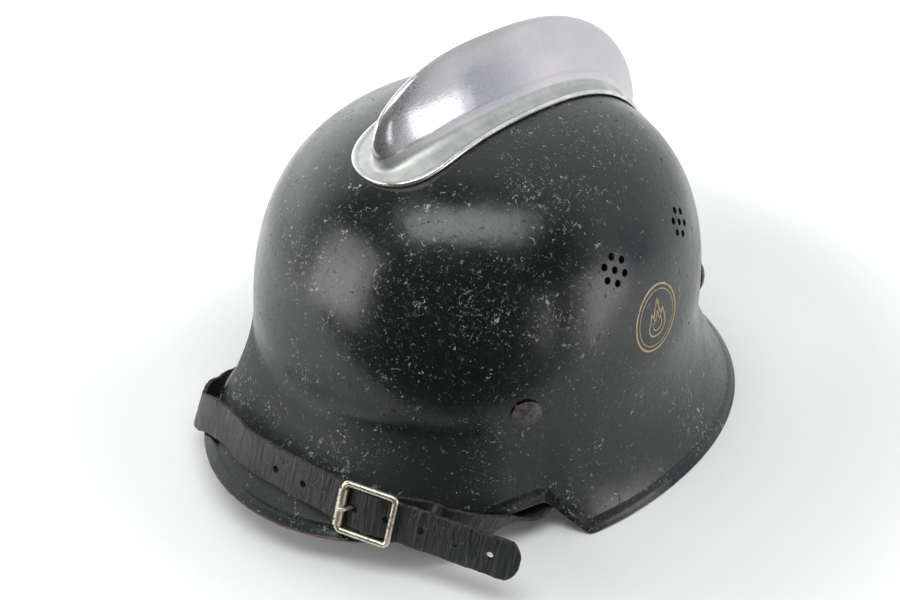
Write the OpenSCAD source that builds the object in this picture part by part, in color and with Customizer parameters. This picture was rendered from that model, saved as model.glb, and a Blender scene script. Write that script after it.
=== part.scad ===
// Fire service helmet: a pressed steel shell with a square dip between peak and neck guard,
// a sheet aluminium comb, a riveted leather liner, and a two-part chinstrap parked over the peak.
// Frame: +X to the front, +Y to the wearer's left, +Z up. Z = 0 is the table under the neck guard,
// and the origin lies on it below the middle of the dome.

/* [Dome] */
// Length of the dome from its axis to the front
dome_front = 114; // [108:1:120]
// Length of the dome from its axis to the rear
dome_rear = 116; // [110:1:122]
// Width of the dome from its axis to each side
dome_half_width = 103; // [98:1:108]
// Height of the crown over the table
crown_height = 162; // [157:1:167]
// Squareness of the dome's upright outline
dome_power = 2.72; // [2.6:0.02:2.84]
// Height at which peak and neck guard start to flare out of the dome
brow_height = 63.5; // [62:0.5:65]
// Thickness of the pressed steel
shell_wall = 1.2; // [1:0.1:1.4]

/* [Peak and neck guard] */
// Reach of the peak beyond the dome, at the front
peak_reach = 40.5; // [37:0.5:43]
// Height of the peak's edge over the table
peak_rise = 16.3; // [15:0.1:18]
// Reach of the edge beyond the dome at the dip
dip_reach = 3.6; // [3:0.1:4.4]
// Reach of the neck guard's front corner
corner_reach = 16.8; // [15:0.1:18.5]
// Reach of the neck guard at the rear
neck_reach = 36.6; // [33:0.2:40]
// Width of the flatter lip that runs round the edge
lip_width = 7.4; // [6.4:0.1:8.4]
// Angle from the front to the inner end of the dip
dip_angle = 58.2; // [57:0.2:59.4]
// Angle that the dip's slanted edge covers
dip_slant = 8.8; // [8:0.1:9.6]

/* [Vents and rivets] */
// Diameter of each vent hole
vent_d = 3.4; // [2.8:0.1:3.8]
// Pitch of the seven holes of a vent
vent_pitch = 6; // [5.6:0.1:6.6]
// Height of the vents over the table
vent_height = 118; // [114:1:121]
// Diameter of the liner rivets' domed heads
rivet_head_d = 13.8; // [12.5:0.1:15]
// Diameter of the liner rivets' shanks
rivet_shank_d = 4; // [3.4:0.1:4.8]

/* [Comb] */
// Height of the comb's body over its flange
comb_height = 30.4; // [28.4:0.2:32.4]
// Half-width of the comb's raised body at its foot
comb_half_width = 13.9; // [13:0.1:15]
// Half-width of the comb's foot flange
flange_half_width = 24.5; // [23:0.1:26]
// Thickness of the aluminium sheet
comb_sheet = 1.5; // [1.2:0.1:1.8]

/* [Liner] */
// Thickness of the outer steel band
band_wall = 1; // [0.8:0.1:1.2]
// Height of both bands
band_height = 17; // [16:0.5:18]
// Depth of the spring bows between the bands
spring_depth = 8; // [7:0.2:9]
// Thickness of the felt ring
felt_wall = 3; // [2.4:0.1:3.6]
// Thickness of the liner leather
liner_wall = 1.6; // [1.3:0.1:1.9]
// Radius of the opening between the finger tips
crown_hole_r = 21; // [19:0.5:23]
// Diameter of the lace
lace_d = 1.6; // [1.3:0.1:1.8]

/* [Chinstrap] */
// Width of both strap parts
strap_width = 18; // [17:0.1:18.6]
// Thickness of the strap leather
strap_wall = 2; // [1.8:0.05:2.1]
// Diameter of the strap's adjusting holes
hole_d = 3.2; // [2.6:0.1:3.6]
// Spacing of the adjusting holes
hole_pitch = 15.5; // [14.5:0.1:15.8]
// Diameter of the bails' wire
bail_d = 2.5; // [2.2:0.1:2.8]
// Height of a bail, from bar to bar
bail_drop = 17; // [16:0.5:18]
// Angle from the front to the bails
bail_angle = 86; // [84:0.5:88]

/* [Buckle] */
// Width of the buckle frame between its bars' axes, along the strap
buckle_length = 23.2; // [22.8:0.1:24]
// Height of the buckle frame between its bars' axes, across the strap
buckle_height = 22.2; // [22.2:0.1:23]
// Diameter of the frame's wire
frame_d = 2.8; // [2.6:0.1:3]
// Diameter of the heel bar
heel_d = 2.2; // [2:0.1:2.3]
// Diameter of the roller
roller_d = 4.4; // [4.2:0.1:4.5]
// Diameter of the prong's wire
prong_d = 1.8; // [1.6:0.1:1.9]
// Radial clearance of the turning parts
running_fit = 0.05; // [0.04:0.01:0.08]

/* [Hidden] */
$fn = 48;

steel_black = [0.09, 0.1, 0.1];
aluminium = [0.72, 0.74, 0.77];
leather_black = [0.07, 0.07, 0.07];
leather_tan = [0.55, 0.36, 0.2];
band_grey = [0.5, 0.51, 0.5];
nickel = [0.68, 0.64, 0.56];

seat = 0.3;              // clearance between pieces that lie on each other
hole_fit = 0.1;          // clearance of a shank in its hole
plan_power = 2.1;        // squareness of the dome's plan
base_height = 45;        // height at which the dome's curve would stand upright
front_cols = 14;         // columns from the front to the dip
dip_cols = 4;            // columns across the dip's slanted edge
rear_cols = 26;          // columns from the dip to the rear
half_cols = front_cols + dip_cols + rear_cols;
dip_foot = 5;            // how much further back the dip's edge starts at the brow

// What the edge does at a station: reach, height, lip slope, flare slope, lip width
at_peak = [peak_reach, peak_rise, 13, 29, lip_width];
at_dip = [dip_reach, peak_rise - 1.3, 66, 85, lip_width];
at_corner = [corner_reach, 0, 50, 58, lip_width];
at_neck = [neck_reach, 0, 39, 54, lip_width];

function mix(a, b, t) = a + (b - a) * t;
function unit(v) = v / norm(v);
function polar(angle, r, z) = [r * cos(angle), r * sin(angle), z];

// ---- the shell's surface ----
function plan(angle) =
    pow(pow(abs(cos(angle)) / (cos(angle) > 0 ? dome_front : dome_rear), plan_power)
        + pow(abs(sin(angle)) / dome_half_width, plan_power), -1 / plan_power);
function dome_level(z) = (z - base_height) / (crown_height - base_height);
function dome_tilt(z) = acos(pow(dome_level(z), dome_power / 2));
function dome_ratio(z) = pow(1 - pow(dome_level(z), dome_power), 1 / dome_power);
brow_tilt = dome_tilt(brow_height);
brow_ratio = dome_ratio(brow_height);

// Column c counts from the front (0) over the left side to the rear (half_cols)
function col_top(c) =
    c <= front_cols ? dip_angle * c / front_cols
    : c <= front_cols + dip_cols ? dip_angle + dip_foot * (c - front_cols) / dip_cols
    : mix(dip_angle + dip_foot, 180, (c - front_cols - dip_cols) / rear_cols);
function col_edge(c) =
    c <= front_cols ? dip_angle * c / front_cols
    : c <= front_cols + dip_cols ? dip_angle + dip_slant * (c - front_cols) / dip_cols
    : mix(dip_angle + dip_slant, 180, (c - front_cols - dip_cols) / rear_cols);
function col_shape(c) =
    c <= front_cols ? mix(at_dip, at_peak, pow(max(0, cos(90 * c / front_cols)), 1.57))
    : c <= front_cols + dip_cols ? mix(at_dip, at_corner, (c - front_cols) / dip_cols)
    : mix(at_corner, at_neck, pow(sin(90 * (c - front_cols - dip_cols) / rear_cols), 2.54));
function col_at(angle) =
    angle <= dip_angle ? front_cols * angle / dip_angle
    : front_cols + dip_cols + rear_cols * (angle - dip_angle - dip_foot)
        / (180 - dip_angle - dip_foot);

// Row v runs down a column: 0 to 1 the dome, 1 to 2 the flare, 2 to 3 the lip
function flare_rz(r1, shape, t) =
    let (crease_r = r1 + shape[0] - shape[4] * cos(shape[2]))
    let (crease_z = shape[1] + shape[4] * sin(shape[2]))
    let (knee_z = crease_z + tan(shape[3]) * (crease_r - r1))
    t <= 1
        ? [mix(r1, crease_r, t * t),
           (1 - t) * (1 - t) * brow_height + 2 * t * (1 - t) * knee_z + t * t * crease_z]
        : [mix(crease_r, r1 + shape[0], t - 1), mix(crease_z, shape[1], t - 1)];
function half_pt(c, v) =
    let (r0 = plan(col_top(c)))
    v <= 1
        ? polar(col_top(c), r0 * pow(sin(v * brow_tilt), 2 / dome_power),
                base_height + (crown_height - base_height) * pow(cos(v * brow_tilt), 2 / dome_power))
        : let (rz = flare_rz(r0 * brow_ratio, col_shape(c), v - 1))
          polar(mix(col_top(c), col_edge(c), v <= 2 ? 0.8 * (v - 1) : 0.8 + 0.2 * (v - 2)), rz[0], rz[1]);
function shell_pt(c, v) =
    let (k = (c + 2 * half_cols) % (2 * half_cols))
    let (p = half_pt(k <= half_cols ? k : 2 * half_cols - k, v))
    k <= half_cols ? p : [p[0], -p[1], p[2]];
function shell_normal(c, v) =
    unit(cross(shell_pt(c, min(3, v + 0.02)) - shell_pt(c, max(0.01, v - 0.02)),
               shell_pt(c + 0.05, v) - shell_pt(c - 0.05, v)));
// Direction square to the dome's plan
function plan_normal(angle) =
    let (d = polar(angle + 1, plan(angle + 1), 0) - polar(angle - 1, plan(angle - 1), 0))
    atan2(d[1], d[0]) - 90;
function edge_r(angle) = norm([for (i = [0, 1]) shell_pt(col_at(abs(angle)), 3)[i]]);
function edge_z(angle) = shell_pt(col_at(abs(angle)), 3)[2];
function wall_pt(angle, z) = shell_pt(col_at(angle), dome_tilt(z) / brow_tilt);
function wall_normal(angle, z) = shell_normal(col_at(angle), dome_tilt(z) / brow_tilt);

// ---- meshes ----
// Closed skin from rings of n points: outer rings from the top down, inner rings from the top down
module ring_sheet(outer, inner) {
    n = len(outer[0]);
    a = len(outer);
    b = len(inner);
    down = concat([for (r = [0 : a - 1]) r * n], [for (r = [b - 1 : -1 : 0]) (a + r) * n]);
    sides = [for (k = [0 : len(down) - 2]) for (i = [0 : n - 1]) let (j = (i + 1) % n)
        for (f = [[down[k] + i, down[k] + j, down[k + 1] + j],
                  [down[k] + i, down[k + 1] + j, down[k + 1] + i]]) f];
    caps = [[for (i = [n - 1 : -1 : 0]) i], [for (i = [0 : n - 1]) a * n + i]];
    polyhedron([for (r = outer) each r, for (r = inner) each r], concat(sides, caps), convexity = 8);
}
// The same with each end closed across, from the left points of the top ring to its right points
module ridge_sheet(outer, inner) {
    n = len(outer[0]);
    a = len(outer);
    b = len(inner);
    h = n / 2;
    down = concat([for (r = [0 : a - 1]) r * n], [for (r = [b - 1 : -1 : 0]) (a + r) * n]);
    sides = [for (k = [0 : len(down) - 2]) for (i = [0 : n - 1]) let (j = (i + 1) % n)
        for (f = [[down[k] + i, down[k] + j, down[k + 1] + j],
                  [down[k] + i, down[k + 1] + j, down[k + 1] + i]]) f];
    over = [for (i = [0 : h - 1]) for (f = i == 0 ? [[0, n - 1, 1]]
        : i == h - 1 ? [[i, n - i, h]]
        : [[i, n - i, i + 1], [n - i, n - i - 1, i + 1]]) f];
    under = [for (f = over) [for (k = [2 : -1 : 0]) a * n + f[k]]];
    polyhedron([for (r = outer) each r, for (r = inner) each r], concat(sides, over, under),
        convexity = 8);
}
// Closed ring with a round or flat section that follows sections of m points
module loop_sheet(sections) {
    m = len(sections[0]);
    n = len(sections);
    faces = [for (s = [0 : n - 1]) for (k = [0 : m - 1])
        let (t = (s + 1) % n) let (l = (k + 1) % m)
        for (f = [[s * m + k, t * m + k, t * m + l], [s * m + k, t * m + l, s * m + l]]) f];
    polyhedron([for (s = sections) each s], faces, convexity = 8);
}

// A strap's station is [centre, half-width vector]; a smooth curve runs through all of them
function curve(a, b, c, d, t) =
    0.5 * ((2 * b) + (c - a) * t + (2 * a - 5 * b + 4 * c - d) * t * t
        + (3 * b - a - 3 * c + d) * t * t * t);
function smooth_run(list, steps) = let (last = len(list) - 1) concat(
    [for (i = [0 : last - 1]) for (k = [0 : steps - 1])
        [for (part = [0, 1]) curve(list[max(0, i - 1)][part], list[i][part], list[i + 1][part],
            list[min(last, i + 2)][part], k / steps)]], [list[last]]);
module strap_sheet(stations, wall) {
    run = smooth_run(stations, 3);
    last = len(run) - 1;
    corners = [for (i = [0 : last])
        let (along = unit(run[min(last, i + 1)][0] - run[max(0, i - 1)][0]))
        let (flat = run[i][1] - along * (run[i][1] * along))
        let (side = unit(flat) * norm(run[i][1]))
        let (out = unit(cross(along, side)) * wall / 2)
        each [run[i][0] - side - out, run[i][0] + side - out, run[i][0] + side + out,
              run[i][0] - side + out]];
    skin = [for (i = [0 : last - 1]) for (k = [0 : 3]) let (l = (k + 1) % 4)
        for (f = [[i * 4 + k, i * 4 + 4 + l, i * 4 + l], [i * 4 + k, i * 4 + 4 + k, i * 4 + 4 + l]]) f];
    ends = [[0, 1, 2, 3], [for (k = [3 : -1 : 0]) last * 4 + k]];
    polyhedron(corners, concat(skin, ends), convexity = 8);
}
// Turns children's +X square out of the dome's plan, at a distance from the axis
module at_plan(angle, r, z) {
    translate(polar(angle, r, z)) rotate([0, 0, plan_normal(angle)]) children();
}
// Cylinder along a direction, centred on a point
module pin(at, along, d, length) {
    translate(at) rotate([0, acos(unit(along)[2]), atan2(along[1], along[0])])
        cylinder(d = d, h = length, center = true);
}

// ---- shell ----
dome_rows = [0.045, 0.14, 0.235, 0.33, 0.43, 0.53, 0.63, 0.73, 0.82, 0.91, 1];
flare_rows = [1.22, 1.42, 1.62, 1.82, 2, 2.5, 3];
inner_rows = concat(dome_rows, flare_rows);
comb_slots = [72, 105, 138];

function shell_ring(v) = [for (c = [0 : 2 * half_cols - 1]) shell_pt(c, v)];
// The neck guard's edge is cut level, so that it stands on the table
function inner_pt(c, v) =
    let (n = shell_normal(c, v))
    let (level = v == 3 && min(c, 2 * half_cols - c) >= front_cols + dip_cols)
    let (flat = [n[0], n[1], 0])
    shell_pt(c, v) - shell_wall * (level ? flat / (flat * flat) : n);
function inner_ring(v) = [for (c = [0 : 2 * half_cols - 1])
    v == inner_rows[0] ? shell_pt(c, v) - [0, 0, shell_wall] : inner_pt(c, v)];
vent_angles = [78.6, 112.8];
rivet_angles = [52, 136];
rivet_height = brow_height + 1.5;

module vent_tools() {
    for (side = [1, -1]) for (angle = vent_angles) {
        p = wall_pt(angle, vent_height);
        n = wall_normal(angle, vent_height);
        for (row = [-1 : 1]) for (k = [0 : 2 - abs(row)])
            mirror([0, side < 0 ? 1 : 0, 0])
                translate(p) rotate([0, acos(n[2]), atan2(n[1], n[0])])
                    translate([(k - (2 - abs(row)) / 2) * vent_pitch, row * vent_pitch * sin(60), 0])
                        cylinder(d = vent_d, h = 4 * shell_wall, center = true);
    }
}
module shell() {
    color(steel_black) difference() {
        ring_sheet([for (v = concat(dome_rows, flare_rows)) shell_ring(v)],
                   [for (v = inner_rows) inner_ring(v)]);
        vent_tools();
        rivet_holes(8);
        for (bearing = comb_slots) on_crown(bearing)
            cube([tab_wall + 4 * hole_fit, tab_width + 4 * hole_fit, 6 * shell_wall], center = true);
    }
}

// ---- comb ----
comb_seat = 0.4;         // clearance of the flange over the dome
comb_peak = 88;          // bearing of the comb's highest part, from the front up over the crown
bearing_per_mm = 0.514;
// Lengths along the dome from the highest part, to the front and to the rear
comb_reach = [70.6, 132.9];
flange_reach = [77.4, 144.6];
// How square the ends of the body's foot and of the flange are, to the front and to the rear
comb_square = [2.6, 7];
flange_square = [8, 15.6];
// How full the crest's side view is, to the front and to the rear
crest_square = [3, 2.1];
tab_wall = 1;
tab_width = 8;
comb_points = 72;

function dome_excess(p) =
    let (r = norm([p[0], p[1]]))
    pow(r / plan(r < 0.01 ? 0 : atan2(p[1], p[0])), dome_power)
        + pow(max(0, dome_level(p[2])), dome_power) - 1;
function halve(p, d, lo, hi, n) =
    n == 0 ? (lo + hi) / 2
    : let (m = (lo + hi) / 2)
      dome_excess(p + d * m) > 0 ? halve(p, d, lo, m, n - 1) : halve(p, d, m, hi, n - 1);
function crown_pt(bearing) =
    let (d = [cos(bearing), 0, sin(bearing)])
    [0, 0, brow_height] + d * halve([0, 0, brow_height], d, 40, 160, 16);
function crown_normal(bearing) =
    let (p = crown_pt(bearing)) let (a = p[0] > 0 ? dome_front : dome_rear)
    unit([sign(p[0]) * pow(abs(p[0]) / a, dome_power - 1) / a, 0,
          pow(dome_level(p[2]), dome_power - 1) / (crown_height - base_height)]);
module on_crown(bearing) {
    n = crown_normal(bearing);
    translate(crown_pt(bearing)) rotate([0, atan2(n[0], n[2]), 0]) children();
}
function comb_pt(s, y, h) =
    let (bearing = comb_peak - bearing_per_mm * s)
    let (p = crown_pt(bearing) + [0, y, 0]) let (n = crown_normal(bearing))
    p + n * (h + halve(p, n, -30, 2, 16));
// Ring with one length and squareness to the front and another to the rear
function comb_ring(lengths, half_width, squares, h) =
    [for (i = [0 : comb_points - 1]) let (a = 360 * i / comb_points) let (end = cos(a) >= 0 ? 0 : 1)
        comb_pt(lengths[end] * cos(a), half_width * sign(sin(a))
            * sqrt(max(0, 1 - pow(abs(cos(a)), squares[end]))), h)];
// Ring of the raised body at a share of its height
function body_ring(share, thin) =
    comb_ring([for (end = [0, 1]) (comb_reach[end] - thin)
                  * pow(1 - pow(share, crest_square[end]), 1 / crest_square[end])],
              (comb_half_width - thin) * pow(1 - pow(share, 1.3), 0.75), comb_square,
              comb_seat + comb_sheet - thin + share * comb_height);
// Ring of the flange at a share of its width
function flange_ring(share, h, thin) =
    comb_ring(mix(comb_reach - [thin, thin], flange_reach, share),
              mix(comb_half_width - thin, flange_half_width, share),
              mix(comb_square, flange_square, share), h);
module comb() {
    top = comb_seat + comb_sheet;
    color(aluminium) ridge_sheet(
        [for (t = [0.985, 0.93, 0.85, 0.74, 0.6, 0.45, 0.3, 0.15, 0.06]) body_ring(t, 0),
         flange_ring(0.04, top + 0.9, 0), flange_ring(0.16, top, 0), flange_ring(0.86, top, 0),
         flange_ring(0.93, top + 0.7, 0), flange_ring(1, top + 0.3, 0)],
        [for (t = [0.88, 0.74, 0.52, 0.3, 0.1]) body_ring(t, comb_sheet),
         flange_ring(0.1, comb_seat, comb_sheet), flange_ring(0.52, comb_seat, comb_sheet),
         flange_ring(0.98, comb_seat, comb_sheet)]);
}
module comb_tabs() {
    color(band_grey) for (bearing = comb_slots) on_crown(bearing) {
        translate([0, 0, tab_wall / 2 + 0.6])
            cube([tab_width, 1.3 * comb_half_width, tab_wall], center = true);
        translate([-tab_wall / 2, -tab_width / 2, -shell_wall - 1.8])
            cube([tab_wall, tab_width, shell_wall + 2.8]);
        translate([-tab_wall / 2, -tab_width / 2, -shell_wall - 1.8])
            cube([tab_width, tab_width, tab_wall]);
    }
}

// ---- liner ----
band_z = rivet_height - band_height / 2;
band_top = band_z + band_height;
outer_band_gap = shell_wall + 0.4;
outer_face = outer_band_gap + band_wall;
inner_wall = 0.8;
inner_face = outer_face + spring_depth + inner_wall;
felt_face = inner_face + hole_fit + felt_wall;
liner_face = felt_face + hole_fit + liner_wall;
bow_wall = 0.6;
bow_fit = 0.25;
bow_count = 8;
bow_half = 8.6;

function wall_r(angle) = plan(angle) * dome_ratio(band_top);
function outline(inset) = [for (i = [0 : 71]) polar(5 * i, wall_r(5 * i) - inset, 0)];
module band(from_inset, to_inset, z, height) {
    translate([0, 0, z]) linear_extrude(height) difference() {
        polygon([for (p = outline(from_inset)) [p[0], p[1]]]);
        polygon([for (p = outline(to_inset)) [p[0], p[1]]]);
    }
}
module at_rivet(side, angle) {
    at_plan(side * angle, plan(angle) * dome_ratio(rivet_height), rivet_height) children();
}
module rivet_holes(reach) {
    for (side = [1, -1]) for (angle = rivet_angles) at_rivet(side, angle) rotate([0, 90, 0])
        cylinder(d = rivet_shank_d + 2 * hole_fit, h = 2 * reach, center = true);
}
// Depth of the outer band's inner face behind the shell's outer face, at the rivets
rivet_grip = max([for (angle = rivet_angles)
    plan(angle) * dome_ratio(rivet_height) - wall_r(angle)]) + outer_face;
washer_wall = 0.8;
module liner_rivets() {
    head_r = 0.9 * rivet_head_d;
    color(steel_black) for (side = [1, -1]) for (angle = rivet_angles) at_rivet(side, angle)
        rotate([0, 90, 0]) {
            translate([0, 0, -rivet_grip - seat - washer_wall - 0.3])
                cylinder(d = rivet_shank_d, h = rivet_grip + seat + washer_wall + 1.2);
            translate([0, 0, -rivet_grip - seat - washer_wall - 1.1])
                cylinder(d = 1.6 * rivet_shank_d, h = 1);
            translate([0, 0, 0.6]) rotate_extrude() intersection() {
                translate([0, 2.2 - head_r]) circle(r = head_r, $fn = 96);
                square([rivet_head_d / 2, 3]);
            }
        }
}
module rivet_washers() {
    color(band_grey) for (side = [1, -1]) for (angle = rivet_angles) at_rivet(side, angle)
        rotate([0, 90, 0]) translate([0, 0, -rivet_grip - seat - washer_wall]) difference() {
            cylinder(d = 2.6 * rivet_shank_d, h = washer_wall);
            translate([0, 0, -1]) cylinder(d = rivet_shank_d + 2 * hole_fit, h = 3);
        }
}
function bow_angle(i) = 22.5 + 360 / bow_count * i;
module outer_band() {
    color(band_grey) difference() {
        band(outer_band_gap, outer_face, band_z, band_height);
        rivet_holes(8);
        bow_holes();
        for (side = [1, -1]) for (dy = [-1, 1])
            clip_rivet_place(side, dy) cylinder(d = bow_rivet_d + 2 * hole_fit, h = 8, center = true);
    }
}
bow_rivet_d = 2.4;
module at_bow(i) {
    at_plan(bow_angle(i), wall_r(bow_angle(i)) - outer_face, rivet_height) rotate([0, 90, 0]) children();
}
module bow_holes() {
    for (i = [0 : bow_count - 1]) at_bow(i)
        cylinder(d = bow_rivet_d + 2 * hole_fit, h = 6, center = true);
}
module spring_bows() {
    // Each bow leans on the inner band with both ends and on the outer band with its middle
    color(band_grey) difference() {
        for (i = [0 : bow_count - 1])
            translate([0, 0, band_z + 2]) linear_extrude(band_height - 4) polygon([
                for (t = [-1 : 0.125 : 1]) bow_pt(i, t, bow_wall),
                for (t = [1 : -0.125 : -1]) bow_pt(i, t, 0)]);
        bow_holes();
    }
}
function bow_pt(i, t, out) =
    let (angle = bow_angle(i) + bow_half * t)
    let (low = wall_r(angle) - outer_face - spring_depth + bow_fit)
    let (r = low + out + (spring_depth - bow_wall - 2 * bow_fit) * pow(1 - t * t, 1.2))
    [r * cos(angle), r * sin(angle)];
module bow_rivets() {
    head = 0.8;
    under = bow_fit + bow_wall + 0.3;
    color(band_grey) for (i = [0 : bow_count - 1]) at_bow(i) {
        translate([0, 0, -under - head]) cylinder(d = 1.7 * bow_rivet_d, h = head);
        translate([0, 0, -under - head / 2]) cylinder(d = bow_rivet_d, h = under + head / 2 + band_wall);
    }
}
stud_d = 2;
function stud_angle(i) = 45 * i;
module inner_band() {
    color(band_grey) difference() {
        band(inner_face - inner_wall, inner_face, band_z, band_height);
        for (i = [0 : 15]) pin(polar(11.25 + 22.5 * i, wall_r(0) - inner_face, rivet_height),
            polar(11.25 + 22.5 * i, 1, 0), 6, 50);
        stud_holes();
    }
}
module at_stud(i) {
    at_plan(stud_angle(i), wall_r(stud_angle(i)) - inner_face + inner_wall, rivet_height + 4)
        rotate([0, 90, 0]) children();
}
module stud_holes() {
    for (i = [0 : 7]) at_stud(i) cylinder(d = stud_d + 2 * hole_fit, h = 20, center = true);
}
module felt_ring() {
    color([0.55, 0.53, 0.48]) difference() {
        band(inner_face + hole_fit, felt_face, band_z + 1, band_height - 2);
        stud_holes();
    }
}
crown_drop = 36;         // clear height between the liner's top and the crown
liner_top = crown_height - crown_drop;
liner_z = band_z - 9;
function liner_r(angle) = wall_r(angle) - liner_face;
function liner_ring(tilt, out) = [for (i = [0 : 71]) let (a = 5 * i)
    polar(a, (liner_r(a) + out) * pow(sin(tilt), 0.8),
        band_top + (liner_top - band_top + out) * pow(cos(tilt), 0.8))];
function liner_skirt(z, out) = [for (i = [0 : 71]) let (a = 5 * i)
    polar(a, liner_r(a) + out, z)];
liner_tilts = [11, 20, 32, 45, 58, 72, 82];
module leather_liner() {
    color(leather_tan) difference() {
        loop_sheet([for (i = [0 : 71]) concat(
            [for (tilt = liner_tilts) liner_ring(tilt, liner_wall)[i]],
            [liner_skirt(band_top, liner_wall)[i], liner_skirt(liner_z, liner_wall)[i],
             liner_skirt(liner_z, 0)[i], liner_skirt(band_top, 0)[i]],
            [for (k = [len(liner_tilts) - 1 : -1 : 0]) liner_ring(liner_tilts[k], 0)[i]])]);
        for (k = [0 : 3]) rotate([0, 0, 22.5 + 45 * k])
            translate([-150, -1.5, band_top + 9]) cube([300, 3, 80]);
        for (i = [0 : 7]) for (side = [-1, 1])
            translate(polar(45 * i + 9 * side, lace_r, liner_top - 8)) cylinder(d = 3.8, h = 16);
        stud_holes();
    }
}
lace_r = crown_hole_r + 6.5;
lace_mid = liner_ring(14, liner_wall / 2)[0][2];
module crown_lace() {
    swing = liner_wall / 2 + lace_d / 2 + 0.6;
    run = [for (i = [0 : 7]) for (k = [[-22.5, 1], [-12, 1], [-9, 0], [-6, -1], [6, -1], [9, 0], [12, 1]])
        polar(45 * i + k[0], lace_r, lace_level(45 * i + k[0]) + swing * k[1])];
    n = len(run);
    color([0.8, 0.74, 0.6]) loop_sheet([for (s = [0 : n - 1])
        let (along = unit(run[(s + 1) % n] - run[(s + n - 1) % n]))
        let (out = unit([run[s][0], run[s][1], 0]))
        let (up = unit(cross(along, out)))
        [for (k = [0 : 5]) run[s] + lace_d / 2 * (cos(60 * k) * out + sin(60 * k) * up)]]);
}
// Height of the liner's leather where the lace runs
function lace_level(angle) =
    let (share = lace_r / (liner_r(angle) + liner_wall / 2))
    band_top + (liner_top - band_top + liner_wall / 2)
        * pow(1 - pow(share, 2.5), 0.4);
module liner_studs() {
    head = 0.8;
    depth = liner_face - inner_face + inner_wall + 0.45;
    color(band_grey) for (i = [0 : 7]) at_stud(i) {
        translate([0, 0, -depth - head]) cylinder(d = 3 * stud_d, h = head);
        translate([0, 0, -depth - head / 2]) cylinder(d = stud_d, h = depth + head + 0.35);
        translate([0, 0, 0.35]) cylinder(d = 2 * stud_d, h = head);
    }
}

// ---- bails ----
clip_wall = 1;
barrel_r = bail_d / 2 + running_fit;
clip_fit = 0.8;          // clearance of the flat clip before the curved band
clip_inner = barrel_r + 0.2;
bail_r = wall_r(bail_angle) - outer_face - clip_fit - clip_wall - clip_inner;
bail_top = band_z - 2.6;
bail_z = bail_top - bail_drop;
bail_half = strap_width / 2 + bail_d / 2 + 1.4;
module at_bail(side) {
    rotate([0, 0, side * bail_angle]) translate([bail_r, 0, bail_top]) children();
}
module clip_rivet_place(side, dy) {
    at_bail(side) translate([clip_inner, 5.5 * dy, rivet_height - bail_top])
        rotate([0, 90, 0]) children();
}
module bail_clips() {
    color(band_grey) difference() {
        for (side = [1, -1]) at_bail(side) {
            translate([clip_inner, -8, 0]) cube([clip_wall, 16, band_z + band_height - 2 - bail_top]);
            rotate([90, 0, 0]) cylinder(r = clip_inner + clip_wall, h = 16, center = true);
        }
        for (side = [1, -1]) at_bail(side) rotate([90, 0, 0])
            cylinder(r = barrel_r, h = 20, center = true);
        for (side = [1, -1]) for (dy = [-1, 1])
            clip_rivet_place(side, dy) cylinder(d = bow_rivet_d + 2 * hole_fit, h = 8, center = true);
    }
}
module clip_rivets() {
    color(band_grey) for (side = [1, -1]) for (dy = [-1, 1]) clip_rivet_place(side, dy) {
        translate([0, 0, -0.9]) cylinder(d = 1.7 * bow_rivet_d, h = 0.8);
        translate([0, 0, -0.9]) cylinder(d = bow_rivet_d, h = 0.7 + clip_wall + clip_fit + band_wall);
    }
}
module bail(side) {
    color(nickel) at_bail(side) {
        for (z = [0, -bail_drop]) translate([0, 0, z]) rotate([90, 0, 0])
            cylinder(d = bail_d, h = 2 * bail_half, center = true);
        for (y = [-bail_half, bail_half]) {
            translate([0, y, -bail_drop]) cylinder(d = bail_d, h = bail_drop);
            for (z = [0, -bail_drop]) translate([0, y, z]) sphere(d = bail_d);
        }
    }
}
module bail_left() { bail(1); }
module bail_right() { bail(-1); }

// ---- chinstrap ----
half_w = strap_width / 2;
strap_lean = 18;         // how far the parked strap leans back from upright
buckle_at = [132.4, 54.2, 31.4] + polar(22, dome_front + peak_reach - 154.5, peak_rise - 16.3);
buckle_turn = [90 - strap_lean, 0, 114];
buckle_dip = 5.5;
heel_z = -4.8;

function turn_x(v, a) = [v[0], v[1] * cos(a) - v[2] * sin(a), v[1] * sin(a) + v[2] * cos(a)];
function turn_z(v, a) = [v[0] * cos(a) - v[1] * sin(a), v[0] * sin(a) + v[1] * cos(a), v[2]];
function buckle_dir(v) = turn_z(turn_x(turn_z(v, -buckle_dip), buckle_turn[0]), buckle_turn[2]);
module at_buckle() {
    translate(buckle_at) rotate(buckle_turn) rotate([0, 0, -buckle_dip]) children();
}
// Station beside the buckle: along the strap, across it, off the frame's plane
function by_buckle(x, y, z, hw = half_w) =
    [buckle_at + buckle_dir([x, y, z]), buckle_dir([0, hw, 0])];
// Station at the edge of the peak: angle, how far out from the edge, how far over it, and how the
// strap stands (0 on edge, 90 flat)
function by_edge(angle, out, rise, stand) =
    [polar(angle, edge_r(angle) + out, edge_z(angle) + rise),
     half_w * (cos(stand) * [0, 0, 1] - sin(stand) * polar(angle, 1, 0))];
// The same from where the strap's top edge is
function by_top(angle, out, rise, stand) =
    by_edge(angle, out + half_w * sin(stand), rise - half_w * cos(stand), stand);
// Station in the loop round a bail's lower bar: outward and upward from the bar
function by_bail(side, out, up) =
    [polar(side * bail_angle, bail_r + out, bail_z + up),
     half_w * polar(side * (bail_angle - 90), 1, 0)];
function bail_loop(side, wall) =
    let (apart = wall / 2 + 0.25) let (round = bail_d / 2 + 1.95 + wall / 2)
    [for (p = [[apart, -15.5], [apart, -9.4], [2.6, -5.2], [round, -1.5], [0.8 * round, 2.6], [0, round + 0.2],
               [-0.8 * round, 2.6], [-round, -1.5], [-2.6, -5.2], [-apart, -9.4], [-apart, -15.5]])
        by_bail(side, p[0], p[1])];

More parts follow.
